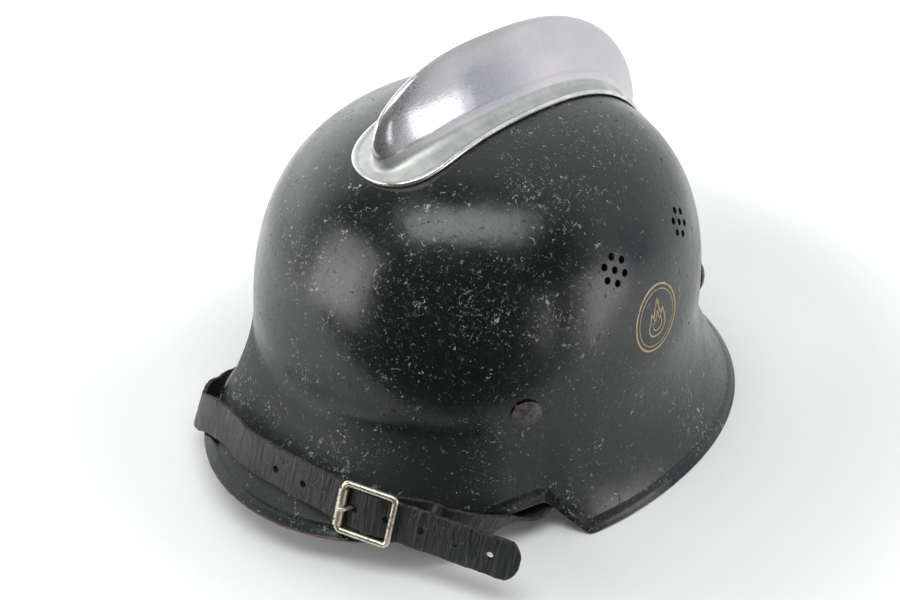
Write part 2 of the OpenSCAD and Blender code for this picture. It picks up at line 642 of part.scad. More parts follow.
// Below a bail the strap turns its face down and swings to the front: forward, up, and the
// direction of its width, then how far inward of the bail
function bail_twist(side) =
    [for (p = [[1, -20.4, 0.8, 0.6, 0, 0], [2.7, -24.4, 0.35, 0.94, 0, 0.2],
               [9, -26.9, 0.1, 1, 0.05, 1.2], [30, -28, 0.25, 0.95, 0.2, 3.8],
               [44.7, -29.1, 0.45, 0.86, 0.25, 7.6]])
        [polar(side * bail_angle, bail_r - 1.3, bail_z + p[1]) + [p[0], -side * p[5], 0],
         half_w * unit([p[2], side * p[3], p[4]])]];

long_route = concat(
    bail_loop(-1, strap_wall), bail_twist(-1),
    [by_top(-52.5, 1, -5.5, -72), by_top(-47.5, 2, -5.2, -66), by_top(-42.5, 2.8, -3.4, -56),
     by_top(-38.5, 3.8, 0.5, -38), by_top(-35.3, 3.1, 4.6, -12), by_top(-32.2, 1.7, 9.4, 6),
     by_top(-29, 0.4, 12.8, 16), by_edge(-25.6, 2.2, 5.6, 18), by_edge(-20.5, -4.4, 11, 18),
     by_edge(-14, -11.6, 13.8, 18), by_edge(-7, -13.8, 14.6, 18), by_edge(0, -15.5, 15.7, 18),
     by_edge(7.5, -14.4, 16.2, 18), by_edge(14.3, -10.2, 16.5, 18)],
    [for (p = [[-11.8, -3.5], [-7, -2.2], [-4, -1.3], [0, -0.7], [4, -0.9], [8, -1.7],
               [12, -2.55], [20, -2.8], [34, -2.6], [48, -2.4]]) by_buckle(p[0], 0, p[1])],
    [by_buckle(61.5, 0, -2.3), by_buckle(64.5, 0, -2.3, half_w - 0.9),
     by_buckle(67, 0, -2.3, half_w - 3.6), by_buckle(68.2, 0, -2.3, half_w - 6.5)]);
short_wall = 1.6;
heel_loop_r = heel_d / 2 + 0.2 + short_wall / 2;
short_route = concat(
    [for (p = [[11, -2.35], [4.5, -2.35], [0.6, -heel_loop_r], [-0.76 * heel_loop_r, -0.72 * heel_loop_r],
               [-heel_loop_r, 0.1], [-0.7 * heel_loop_r, 0.75 * heel_loop_r], [0.2, heel_loop_r],
               [2.6, 1.2], [5.5, 0.1], [12, -1.2], [18, -3.2], [23.5, -5.2]])
        by_buckle(p[0], p[0] > 11 ? 1.2 : 0, heel_z + p[1])],
    [by_top(34.4, -1.5, 16, 17), by_top(37.4, 2.2, 14.8, 10), by_top(41, 5.4, 12, 0),
     by_top(44.5, 6, 6.9, -20), by_top(47.5, 4.6, 1.2, -40), by_top(51, 3.6, -3.3, -58),
     by_top(55.5, 3.2, -5.5, -72)],
    [for (k = [4 : -1 : 0]) bail_twist(1)[k]],
    [for (k = [10 : -1 : 0]) bail_loop(1, short_wall)[k]]);
hole_steps = [0, 1, 2, 3, 4];
prong_slot = 2.9;

module long_strap() {
    color(leather_black) difference() {
        strap_sheet(long_route, strap_wall);
        at_buckle() {
            for (k = hole_steps) translate([-6.8 + hole_pitch * k, 0, -2.5])
                cylinder(d = hole_d, h = 8, center = true);
            for (dx = [-1, 1]) translate([-6.8 + dx * (prong_slot - 1.4), 0, -2.5])
                cylinder(d = 2.8, h = 8, center = true);
            translate([-6.8, 0, -2.5]) cube([2 * prong_slot - 2.8, 2.8, 8], center = true);
        }
        for (k = [1, 2]) pin(by_edge(15.5 - 6.7 * k, -15.6, 14.6, 0)[0],
            polar(15.5 - 6.7 * k, cos(strap_lean), sin(strap_lean)), hole_d, 12);
        stud_place(-1, strap_wall) cylinder(d = strap_stud_d + 2 * hole_fit, h = 12, center = true);
    }
}
module short_strap() {
    color(leather_black) difference() {
        strap_sheet(short_route, short_wall);
        at_buckle() translate([-4, -2.1, heel_z - 3.6]) cube([6.8, 4.2, 7.2]);
        at_buckle() translate([8.4, 0, heel_z - 1]) cylinder(d = strap_stud_d + 2 * hole_fit, h = 9, center = true);
        stud_place(1, short_wall) cylinder(d = strap_stud_d + 2 * hole_fit, h = 12, center = true);
    }
}
strap_stud_d = 2.6;
module stud_place(side, wall) {
    translate(by_bail(side, 0, -12.6)[0]) rotate([0, 0, side * bail_angle]) rotate([0, 90, 0]) children();
}
module strap_stud(grip, head_d, head) {
    for (s = [-1, 1]) translate([0, 0, s * (grip + head) / 2])
        cylinder(d = head_d, h = head, center = true);
    cylinder(d = strap_stud_d, h = grip + head, center = true);
}
module strap_studs() {
    color(band_grey) {
        stud_place(-1, strap_wall) strap_stud(2 * strap_wall + 1.3, 2.2 * strap_stud_d, 0.7);
        stud_place(1, short_wall) strap_stud(2 * short_wall + 1.3, 2.2 * strap_stud_d, 0.7);
        at_buckle() translate([8.4, 0, heel_z - 1.2])
            strap_stud(2 * short_wall + 1, 1.5 * strap_stud_d, 0.5);
    }
}

// ---- buckle ----
corner_r = 2.2;
bar_x = buckle_length / 2;
bar_y = buckle_height / 2;
roller_bore = 2.4 + 2 * running_fit;
module buckle_frame() {
    color(nickel) at_buckle() {
        for (side = [-1, 1]) {
            translate([0, side * bar_y, 0]) rotate([0, 90, 0])
                cylinder(d = frame_d, h = buckle_length - 2 * corner_r, center = true);
            translate([side * bar_x, 0, 0]) rotate([90, 0, 0])
                cylinder(d = side < 0 ? 2.4 : frame_d, h = buckle_height - 2 * corner_r, center = true);
            translate([0, side * bar_y, heel_z]) cylinder(d = heel_d, h = -heel_z);
            translate([0, side * bar_y, heel_z]) sphere(d = heel_d);
        }
        for (q = [0 : 3]) rotate([0, 0, q % 2 == 0 ? 180 * q / 2 : 180 * (q - 1) / 2])
            mirror([0, q % 2, 0]) translate([bar_x - corner_r, bar_y - corner_r, 0])
                rotate_extrude(angle = 90) translate([corner_r, 0]) circle(d = frame_d);
        translate([0, 0, heel_z]) rotate([90, 0, 0])
            cylinder(d = heel_d, h = buckle_height, center = true);
    }
}
module buckle_roller() {
    color(nickel) at_buckle() translate([-bar_x, -0.1, 0]) rotate([90, 0, 0]) difference() {
        cylinder(d = roller_d, h = buckle_height - 2 * corner_r - 0.6, center = true);
        cylinder(d = roller_bore, h = buckle_height, center = true);
    }
}
// The prong's axis in the buckle's plane, from its eye to its tip on the roller
prong_path = [[-1.6, heel_z + 0.3], [-4.6, heel_z + 0.65], [-6.2, -3.1], [-8.1, 0.5], [-9.1, 2.7],
    [-0.2 - bar_x, roller_d / 2 + prong_d / 2 + 0.2]];
module buckle_prong() {
    color(nickel) at_buckle() difference() {
        union() {
            translate([0, 0, heel_z]) rotate([90, 0, 0])
                cylinder(d = heel_d + 2 * running_fit + 2, h = 3, center = true);
            for (i = [0 : len(prong_path) - 2]) {
                a = [prong_path[i][0], 0, prong_path[i][1]];
                b = [prong_path[i + 1][0], 0, prong_path[i + 1][1]];
                pin((a + b) / 2, b - a, prong_d, norm(b - a));
                translate(b) sphere(d = prong_d + 0.1);
            }
        }
        translate([0, 0, heel_z]) rotate([90, 0, 0])
            cylinder(d = heel_d + 2 * running_fit, h = 8, center = true);
    }
}

shell();
comb();
comb_tabs();
liner_rivets();
rivet_washers();
outer_band();
spring_bows();
bow_rivets();
inner_band();
felt_ring();
leather_liner();
liner_studs();
crown_lace();
bail_clips();
clip_rivets();
bail_left();
bail_right();
long_strap();
short_strap();
strap_studs();
buckle_frame();
buckle_roller();
buckle_prong();
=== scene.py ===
import bpy
import bmesh
import numpy as np
from mathutils import Matrix, Vector


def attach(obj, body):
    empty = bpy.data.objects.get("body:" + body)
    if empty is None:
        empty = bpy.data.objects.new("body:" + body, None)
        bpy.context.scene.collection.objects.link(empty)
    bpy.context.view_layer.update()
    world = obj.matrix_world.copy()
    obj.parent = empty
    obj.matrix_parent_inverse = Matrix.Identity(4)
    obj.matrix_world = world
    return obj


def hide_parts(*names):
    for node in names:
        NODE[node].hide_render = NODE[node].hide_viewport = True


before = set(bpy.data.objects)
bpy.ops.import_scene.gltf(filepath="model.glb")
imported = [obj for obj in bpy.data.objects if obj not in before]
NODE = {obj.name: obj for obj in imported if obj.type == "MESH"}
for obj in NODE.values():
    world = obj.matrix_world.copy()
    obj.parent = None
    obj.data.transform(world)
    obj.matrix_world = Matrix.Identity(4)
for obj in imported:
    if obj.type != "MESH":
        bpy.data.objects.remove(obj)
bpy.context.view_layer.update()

MM = 0.001


# The helmet's surfaces, in mm, with the part's own sizes
# the dome's reach from the middle, its heights, and the powers of its upright and level outlines
FRONT, REAR, SIDE = 114.0, 116.0, 103.0
CROWN, BASE, BROW, POWER, PLAN_POWER = 162.0, 45.0, 63.5, 2.72, 2.1
WALL = 1.2
LINER_BAND_TOP = 73.5
# columns of the half shell over the peak, the dip and the neck guard
FRONT_COLS, DIP_COLS, REAR_COLS = 14, 4, 26
HALF_COLS = FRONT_COLS + DIP_COLS + REAR_COLS
DIP_ANGLE, DIP_FOOT, DIP_SLANT = 58.2, 5.0, 8.8
LIP_WIDTH = 7.4
# the edge at four places: reach, rise, slope of lip, slope of flare, width of lip
AT_PEAK = np.array([40.5, 16.3, 13, 29, LIP_WIDTH])
AT_DIP = np.array([3.6, 15.0, 66, 85, LIP_WIDTH])
AT_CORNER = np.array([16.8, 0, 50, 58, LIP_WIDTH])
AT_NECK = np.array([36.6, 0, 39, 54, LIP_WIDTH])
# how quickly the edge changes from the peak to the dip, and from the neck guard to its corner
PEAK_FADE, NECK_FADE = 1.57, 2.54


def cosd(a):
    return np.cos(np.radians(a))


def sind(a):
    return np.sin(np.radians(a))


def mix(a, b, t):
    return a + (b - a) * t


def unit(v):
    return v / np.linalg.norm(v, axis=-1, keepdims=True)


def ease(x, lo, hi):
    t = np.clip((x - lo) / (hi - lo), 0, 1)
    return t * t * (3 - 2 * t)


def polar(angle, r, z):
    angle, r, z = np.broadcast_arrays(angle, r, z)
    return np.stack([r * cosd(angle), r * sind(angle), z * 1.0], -1)


def plan(angle):
    c, s = cosd(angle), sind(angle)
    return (np.abs(c / np.where(c > 0, FRONT, REAR)) ** PLAN_POWER
            + np.abs(s / SIDE) ** PLAN_POWER) ** (-1 / PLAN_POWER)


def dome_level(z):
    return (z - BASE) / (CROWN - BASE)


def dome_tilt(z):
    return np.degrees(np.arccos(dome_level(z) ** (POWER / 2)))


def dome_ratio(z):
    return (1 - dome_level(z) ** POWER) ** (1 / POWER)


BROW_TILT = dome_tilt(BROW)
BROW_RATIO = dome_ratio(BROW)


def column_at(c):
    """Angles of a column at the brow and at the edge, and what its edge does."""
    front = c <= FRONT_COLS
    dip = (c - FRONT_COLS) / DIP_COLS
    rear = np.clip((c - FRONT_COLS - DIP_COLS) / REAR_COLS, 0, 1)
    in_dip = c <= FRONT_COLS + DIP_COLS
    top = np.where(front, DIP_ANGLE * c / FRONT_COLS, np.where(
        in_dip, DIP_ANGLE + DIP_FOOT * dip, mix(DIP_ANGLE + DIP_FOOT, 180, rear)))
    edge = np.where(front, DIP_ANGLE * c / FRONT_COLS, np.where(
        in_dip, DIP_ANGLE + DIP_SLANT * dip, mix(DIP_ANGLE + DIP_SLANT, 180, rear)))
    to_peak = np.clip(cosd(np.clip(90 * c / FRONT_COLS, 0, 90)), 0, 1) ** PEAK_FADE
    to_neck = np.clip(sind(90 * rear), 0, 1) ** NECK_FADE
    shape = np.where(front[..., None], mix(AT_DIP, AT_PEAK, to_peak[..., None]), np.where(
        in_dip[..., None], mix(AT_DIP, AT_CORNER, np.clip(dip, 0, 1)[..., None]),
        mix(AT_CORNER, AT_NECK, to_neck[..., None])))
    return top, edge, shape


def half_pt(c, v):
    """The shell's left half at a column and a row: dome up to 1, flare up to 2, lip up to 3."""
    top, edge, shape = column_at(c)
    r0 = plan(top)
    dome_v = np.clip(v, 0, 1)
    dome = polar(top, r0 * sind(dome_v * BROW_TILT) ** (2 / POWER),
                 BASE + (CROWN - BASE) * cosd(dome_v * BROW_TILT) ** (2 / POWER))
    r1 = r0 * BROW_RATIO
    reach, rise, lip, flare, width = [shape[..., k] for k in range(5)]
    crease_r = r1 + reach - width * cosd(lip)
    crease_z = rise + width * sind(lip)
    knee_z = crease_z + np.tan(np.radians(flare)) * (crease_r - r1)
    t = np.clip(v - 1, 0, 1)
    s = np.clip(v - 2, 0, 1.2)
    fr = np.where(v <= 2, mix(r1, crease_r, t * t), mix(crease_r, r1 + reach, s))
    fz = np.where(v <= 2, (1 - t) ** 2 * BROW + 2 * t * (1 - t) * knee_z + t * t * crease_z,
                  mix(crease_z, rise, s))
    turn = mix(top, edge, np.where(v <= 2, 0.8 * t, 0.8 + 0.2 * s))
    return np.where((v <= 1)[..., None], dome, polar(turn, fr, fz))


def shell_raw(c, v):
    c, v = np.broadcast_arrays(np.asarray(c, float), np.asarray(v, float))
    k = c % (2 * HALF_COLS)
    left = k <= HALF_COLS
    p = half_pt(np.where(left, k, 2 * HALF_COLS - k), v)
    return p * np.where(left[..., None], 1.0, np.array([1.0, -1.0, 1.0]))


def shell_pt(c, v):
    """The shell's outer face, with the corners of the dip eased."""
    return (0.25 * shell_raw(c - 0.3, v) + 0.5 * shell_raw(c, v) + 0.25 * shell_raw(c + 0.3, v))


def shell_normal(c, v):
    c, v = np.broadcast_arrays(np.asarray(c, float), np.asarray(v, float))
    down = shell_pt(c, np.minimum(3, v + 0.02)) - shell_pt(c, np.maximum(0.01, v - 0.02))
    return unit(np.cross(down, shell_pt(c + 0.05, v) - shell_pt(c - 0.05, v)))


def col_at(angle):
    return np.where(angle <= DIP_ANGLE, FRONT_COLS * angle / DIP_ANGLE,
                    FRONT_COLS + DIP_COLS + REAR_COLS * (angle - DIP_ANGLE - DIP_FOOT)
                    / (180 - DIP_ANGLE - DIP_FOOT))


def edge_at(angle):
    p = shell_raw(col_at(np.abs(angle)), 3.0)
    return np.hypot(p[..., 0], p[..., 1]), p[..., 2]


def wall_pt(angle, z, out=0.0):
    c, v = col_at(angle), dome_tilt(z) / BROW_TILT
    return shell_pt(c, v) + np.asarray(out) * shell_normal(c, v)


def plan_normal(angle):
    d = polar(angle + 1, plan(angle + 1), 0) - polar(angle - 1, plan(angle - 1), 0)
    return np.degrees(np.arctan2(d[1], d[0])) - 90


def wall_r(angle):
    """The shell's reach from the middle, level with the top of the liner's bands."""
    return plan(angle) * dome_ratio(LINER_BAND_TOP)


# Meshes
SHARP = 38


def finish_piece(name, bm, materials, body="root", sharp=SHARP):
    """An object from a bmesh, smooth up to an angle, that rides on a body."""
    mesh = bpy.data.meshes.new(name)
    bm.to_mesh(mesh)
    bm.free()
    piece = bpy.data.objects.new(name, mesh)
    bpy.context.scene.collection.objects.link(piece)
    for material in materials:
        mesh.materials.append(material)
    mesh.shade_smooth()
    mesh.set_sharp_from_angle(angle=np.radians(sharp))
    if body:
        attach(piece, body)
    return piece


def lay_grid(bm, pts, uv=None, row_material=None, wrap_cols=False, wrap_rows=False, cap=False):
    """Adds a skin through pts [row][column] in mm, closed across columns or rows where asked."""
    if uv is None:
        uv = np.stack(np.meshgrid(np.linspace(0, 1, pts.shape[1]),
                                  np.linspace(0, 1, pts.shape[0])), -1)
    if wrap_cols:
        step = uv[:, -1:] - uv[:, -2:-1]
        pts = np.concatenate([pts, pts[:, :1]], 1)
        uv = np.concatenate([uv, uv[:, -1:] + step], 1)
    if wrap_rows:
        pts = np.concatenate([pts, pts[:1]], 0)
        uv = np.concatenate([uv, uv[-1:]], 0)
    rows, cols = pts.shape[:2]
    layer = bm.loops.layers.uv.verify()
    made = bmesh.ops.create_grid(bm, x_segments=cols - 1, y_segments=rows - 1, size=0.5)["verts"]
    place = {}
    for vert in made:
        i = int(round((vert.co.x + 0.5) * (cols - 1)))
        j = int(round((vert.co.y + 0.5) * (rows - 1)))
        place[vert] = (j, i)
    faces = {face for vert in made for face in vert.link_faces}
    for face in faces:
        for loop in face.loops:
            loop[layer].uv = uv[place[loop.vert]]
        if row_material is not None:
            face.material_index = row_material[min(place[v][0] for v in face.verts)]
    for vert in made:
        vert.co = Vector(pts[place[vert]]) * MM
    bmesh.ops.remove_doubles(bm, verts=made, dist=2e-6)
    if cap:
        open_edges = [e for e in bm.edges if e.is_boundary]
        bmesh.ops.holes_fill(bm, edges=open_edges, sides=0)


def tidy_normals(bm):
    bmesh.ops.recalc_face_normals(bm, faces=bm.faces)
    return bm


def rod(bm, at, along, d, length, segments=40, slot=None, spread=0.0):
    """Adds a cylinder centred on a point, in mm, drawn out to both sides along a slot."""
    turn = Vector((0, 0, 1)).rotation_difference(Vector(along)).to_matrix().to_4x4()
    made = bmesh.ops.create_cone(bm, cap_ends=True, segments=segments, radius1=d / 2 * MM,
                                 radius2=d / 2 * MM, depth=length * MM,
                                 matrix=Matrix.Translation(Vector(at) * MM) @ turn)["verts"]
    if slot is not None:
        way = Vector(slot)
        for vert in made:
            side = 1 if (vert.co - Vector(at) * MM).dot(way) > 0 else -1
            vert.co += way * side * spread * MM


def block(bm, at, axes, size):
    """Adds a box centred on a point with its sides along three axes, in mm."""
    turn = Matrix([list(a) for a in axes]).transposed().to_4x4()
    scale = Matrix.Diagonal((size[0] * MM, size[1] * MM, size[2] * MM, 1))
    bmesh.ops.create_cube(bm, size=1, matrix=Matrix.Translation(Vector(at) * MM) @ turn @ scale)


def cut(piece, tools, sharp=SHARP):
    """Cuts holes through a piece, and keeps the plain mesh."""
    mesh = bpy.data.meshes.new("tools")
    tidy_normals(tools).to_mesh(mesh)
    tools.free()
    cutter = bpy.data.objects.new("tools", mesh)
    bpy.context.scene.collection.objects.link(cutter)
    hole = piece.modifiers.new("holes", "BOOLEAN")
    hole.operation, hole.solver, hole.object = "DIFFERENCE", "EXACT", cutter
    settle(piece, sharp)
    bpy.data.objects.remove(cutter)


def settle(piece, sharp):
    """Turns a piece's modifiers into plain mesh."""
    bpy.context.view_layer.update()
    ready = piece.evaluated_get(bpy.context.evaluated_depsgraph_get())
    mesh = bpy.data.meshes.new_from_object(ready)
    piece.modifiers.clear()
    piece.data = mesh
    mesh.shade_smooth()
    mesh.set_sharp_from_angle(angle=np.radians(sharp))


def smooth_run(knots, steps):
    """Curve through all knots [n][...], with so many steps between two of them."""
    last = len(knots) - 1
    run = []
    for i in range(last):
        a, b = knots[max(0, i - 1)], knots[i]
        c, d = knots[i + 1], knots[min(last, i + 2)]
        for k in range(steps):
            t = k / steps
            run.append(0.5 * (2 * b + (c - a) * t + (2 * a - 5 * b + 4 * c - d) * t * t
                              + (3 * b - a - 3 * c + d) * t ** 3))
    return np.array(run + [knots[last]])


def tube(bm, path, radius, sides, closed=False, across=None):
    """Adds a round tube along a path, in mm; radius may change along it."""
    path = np.asarray(path, float)
    n = len(path)
    radius = np.broadcast_to(radius, (n,))
    if closed:
        along = unit(np.roll(path, -1, 0) - np.roll(path, 1, 0))
    else:
        along = unit(np.gradient(path, axis=0))
    hint = np.array([0.0, 0.0, 1.0]) if across is None else np.asarray(across, float)
    one = unit(np.cross(along, np.broadcast_to(hint, path.shape)))
    two = np.cross(along, one)
    turn = np.linspace(0, 360, sides, endpoint=False)
    ring = path[:, None] + radius[:, None, None] * (
        cosd(turn)[None, :, None] * one[:, None] + sind(turn)[None, :, None] * two[:, None])
    length = np.concatenate([[0], np.cumsum(np.linalg.norm(np.diff(path, axis=0), axis=1))])
    uv = np.stack(np.broadcast_arrays(turn[None, :] / 360, length[:, None] * MM), -1)
    lay_grid(bm, ring, uv, wrap_cols=True, wrap_rows=closed, cap=not closed)


# Materials
class Finish:
    """One node material, built from a few named steps."""

    def __init__(self, name):
        self.material = bpy.data.materials.new(name)
        self.material.use_nodes = True
        self.tree = self.material.node_tree
        self.tree.nodes.clear()
        spots = self.node("ShaderNodeTexCoord").outputs
        self.place, self.uv = spots["Object"], spots["UV"]

    def node(self, kind, **settings):
        made = self.tree.nodes.new(kind)
        for key, value in settings.items():
            setattr(made, key, value)
        return made

    def feed(self, socket, value):
        if isinstance(value, bpy.types.NodeSocket):
            self.tree.links.new(value, socket)
        elif isinstance(value, tuple) and len(value) == 3 and socket.type == "RGBA":
            socket.default_value = (*value, 1)
        else:
            socket.default_value = value

    def calc(self, how, a, b=0.5):
        made = self.node("ShaderNodeMath", operation=how)
        self.feed(made.inputs[0], a)
        self.feed(made.inputs[1], b)
        return made.outputs[0]

    def times(self, *values):
        total = values[0]
        for value in values[1:]:
            total = self.calc("MULTIPLY", total, value)
        return total

    def most(self, *values):
        total = values[0]
        for value in values[1:]:
            total = self.calc("MAXIMUM", total, value)
        return total

    def band(self, value, lo, hi, a=0.0, b=1.0):
        made = self.node("ShaderNodeMapRange", interpolation_type="SMOOTHSTEP")
        for socket, v in zip(made.inputs, (value, lo, hi, a, b)):
            self.feed(socket, v)
        return made.outputs[0]

    def stretch(self, vector, scale=(1, 1, 1), turn=(0, 0, 0), shift=(0, 0, 0)):
        made = self.node("ShaderNodeMapping")
        self.feed(made.inputs["Vector"], vector)
        self.feed(made.inputs["Scale"], scale)
        self.feed(made.inputs["Rotation"], tuple(np.radians(turn)))
        self.feed(made.inputs["Location"], shift)
        return made.outputs[0]

    def noise(self, scale, detail, rough, wander=0.0, at=None):
        made = self.node("ShaderNodeTexNoise")
        self.feed(made.inputs["Vector"], self.place if at is None else at)
        self.feed(made.inputs["Scale"], scale)
        self.feed(made.inputs["Detail"], detail)
        self.feed(made.inputs["Roughness"], rough)
        self.feed(made.inputs["Distortion"], wander)
        return made.outputs["Fac"]

    def cells(self, scale, feature, output, at=None):
        made = self.node("ShaderNodeTexVoronoi", feature=feature)
        self.feed(made.inputs["Vector"], self.place if at is None else at)
        self.feed(made.inputs["Scale"], scale)
        return made.outputs[output]

    def part(self, vector, axis):
        made = self.node("ShaderNodeSeparateXYZ")
        self.feed(made.inputs[0], vector)
        return made.outputs[axis]

    def near(self, centre, radius, softness):
        """1 around a point of the helmet, in metres, 0 beyond the radius."""
        made = self.node("ShaderNodeVectorMath", operation="DISTANCE")
        self.feed(made.inputs[0], self.place)
        self.feed(made.inputs[1], centre)
        return self.band(made.outputs["Value"], radius * softness, radius, 1.0, 0.0)

    def tint(self, amount, a, b, how="MIX"):
        made = self.node("ShaderNodeMix", data_type="RGBA", blend_type=how)
        self.feed(made.inputs[0], amount)
        self.feed(made.inputs[6], a)
        self.feed(made.inputs[7], b)
        return made.outputs[2]

    def relief(self, height, depth, under=None):
        made = self.node("ShaderNodeBump")
        self.feed(made.inputs["Height"], height)
        self.feed(made.inputs["Distance"], depth)
        if under is not None:
            self.feed(made.inputs["Normal"], under)
        return made.outputs[0]

    def done(self, colour, rough, metal, normal, **more):
        made = self.node("ShaderNodeBsdfPrincipled")
        self.feed(made.inputs["Base Color"], colour)
        self.feed(made.inputs["Roughness"], rough)
        self.feed(made.inputs["Metallic"], metal)
        self.feed(made.inputs["Normal"], normal)
        for key, value in more.items():
            self.feed(made.inputs[key.replace("_", " ")], value)
        return self.close(made)

    def close(self, shader):
        out = self.node("ShaderNodeOutputMaterial")
        self.tree.links.new(shader.outputs[0], out.inputs[0])
        return self.material


# spots where the paint has chipped most: centre in metres, radius, how much
WORN_SPOTS = (((0.082, 0.075, 0.118), 0.048, 0.9), ((0.115, 0.045, 0.085), 0.05, 0.6),
              ((0.06, 0.103, 0.075), 0.05, 0.6), ((0.104, -0.02, 0.118), 0.045, 0.75),
              ((-0.03, 0.125, 0.045), 0.05, 0.55))


def worn_share(f):
    """How much the paint has suffered, between 0 and 1."""
    worn = f.band(f.noise(26, 2, 0.5), 0.32, 0.66, 0.26, 0.76)
    for centre, radius, much in WORN_SPOTS:
        worn = f.most(worn, f.times(f.near(centre, radius, 0.1), much))
    return worn


def scratches(f):
    """Short straight scratches in two directions."""
    lines = []
    for turn, scale, gate in (((12, 40, 20), (1400, 60, 1400), 31),
                              ((75, -15, 50), (1500, 45, 1500), 23)):
        hair = f.noise(1.0, 1, 0.4, 0.0, f.stretch(f.place, scale, turn))
        lines.append(f.times(f.band(hair, 0.745, 0.79), f.band(f.noise(gate, 2, 0.5), 0.5, 0.62)))
    return f.most(*lines)


def bare_spots(f, worn):
    """Where the paint is off: small flecks, larger flakes and scratches."""
    crumb = f.noise(500, 5, 0.68, 1.1)
    coarse = f.noise(235, 5, 0.68, 1.5)
    limit = f.calc("SUBTRACT", 0.682, f.times(worn, 0.112))
    flecks = f.band(f.calc("SUBTRACT", crumb, limit), 0.0, 0.018)
    flakes = f.band(f.calc("SUBTRACT", coarse, f.calc("ADD", limit, 0.012)), 0.0, 0.014)
    flakes = f.times(flakes, f.band(f.noise(700, 2, 0.5), 0.40, 0.52))
    return f.most(flecks, flakes, f.times(scratches(f), 0.6))


def outer_paint():
    f = Finish("shell black paint")
    base = f.tint(f.noise(14, 3, 0.5), (0.0042, 0.0066, 0.0066), (0.0088, 0.0118, 0.0114))
    worn = worn_share(f)
    bare = bare_spots(f, worn)
    dust = f.times(f.band(f.noise(1500, 2, 0.5), 0.66, 0.74), f.calc("ADD", f.times(worn, 0.7), 0.12))
    grey = f.tint(f.band(f.noise(170, 3, 0.6), 0.32, 0.68), (0.075, 0.080, 0.074), (0.40, 0.405, 0.375))
    colour = f.tint(bare, base, grey)
    colour = f.tint(f.times(dust, 0.5), colour, (0.16, 0.17, 0.16))
    # the rim, where the black has worn through to brown steel
    down = f.part(f.uv, 1)
    rim = f.times(f.band(down, 0.965, 0.9985), f.band(f.noise(160, 3, 0.6), 0.42, 0.62))
    colour = f.tint(rim, colour, (0.075, 0.038, 0.024))
    # matt marks show dark where the paint mirrors a light
    matt = f.most(f.band(f.noise(320, 4, 0.6, 0.4, f.stretch(f.place, shift=(3, 1, 2))), 0.60, 0.66),
                  f.band(f.noise(60, 3, 0.6), 0.66, 0.76))
    haze = f.noise(1.0, 3, 0.6, 0.0, f.stretch(f.place, (900, 60, 160), (0, 25, 0)))
    rough = f.band(f.noise(45, 4, 0.6), 0.3, 0.7, 0.19, 0.285)
    rough = f.calc("ADD", rough, f.times(f.band(haze, 0.5, 0.75), 0.06))
    rough = f.calc("MAXIMUM", rough, f.times(matt, 0.5))
    # the strap has rubbed the flare over the peak dull
    dull = f.times(f.band(down, 0.36, 0.44), f.band(down, 0.69, 0.655),
                   f.band(f.part(f.place, 0), 0.062, 0.085))
    rough = f.calc("MAXIMUM", rough, f.times(dull, 0.62))
    rough = f.calc("MAXIMUM", rough, f.times(bare, 0.62))
    sag = f.relief(f.noise(55, 2, 0.5), 0.00035)
    grain = f.relief(f.noise(900, 3, 0.6), 0.000025, sag)
    pits = f.relief(f.calc("SUBTRACT", 1.0, bare), 0.00006, grain)
    return f.done(colour, rough, 0.0, pits, Specular_IOR_Level=0.48)


def inner_paint():
    f = Finish("shell inner paint")
    base = f.tint(f.noise(30, 4, 0.6), (0.018, 0.019, 0.018), (0.042, 0.040, 0.036))
    rust = f.times(f.band(f.noise(75, 5, 0.65), 0.60, 0.70), f.band(f.noise(18, 2, 0.5), 0.45, 0.6))
    colour = f.tint(f.times(rust, 0.8), base, (0.085, 0.042, 0.022))
    normal = f.relief(f.noise(700, 4, 0.6), 0.00008)
    return f.done(colour, f.band(rust, 0, 1, 0.46, 0.8), 0.0, normal)


def rim_steel():
    f = Finish("shell rim worn to steel")
    rust = f.band(f.noise(190, 4, 0.6), 0.36, 0.6)
    colour = f.tint(rust, (0.030, 0.026, 0.024), (0.115, 0.055, 0.036))
    bright = f.band(f.noise(420, 3, 0.6), 0.6, 0.7)
    colour = f.tint(f.times(bright, 0.6), colour, (0.30, 0.24, 0.20))
    return f.done(colour, f.band(bright, 0, 1, 0.55, 0.35), f.times(bright, 0.6),
                  f.relief(f.noise(800, 3, 0.6), 0.00006))


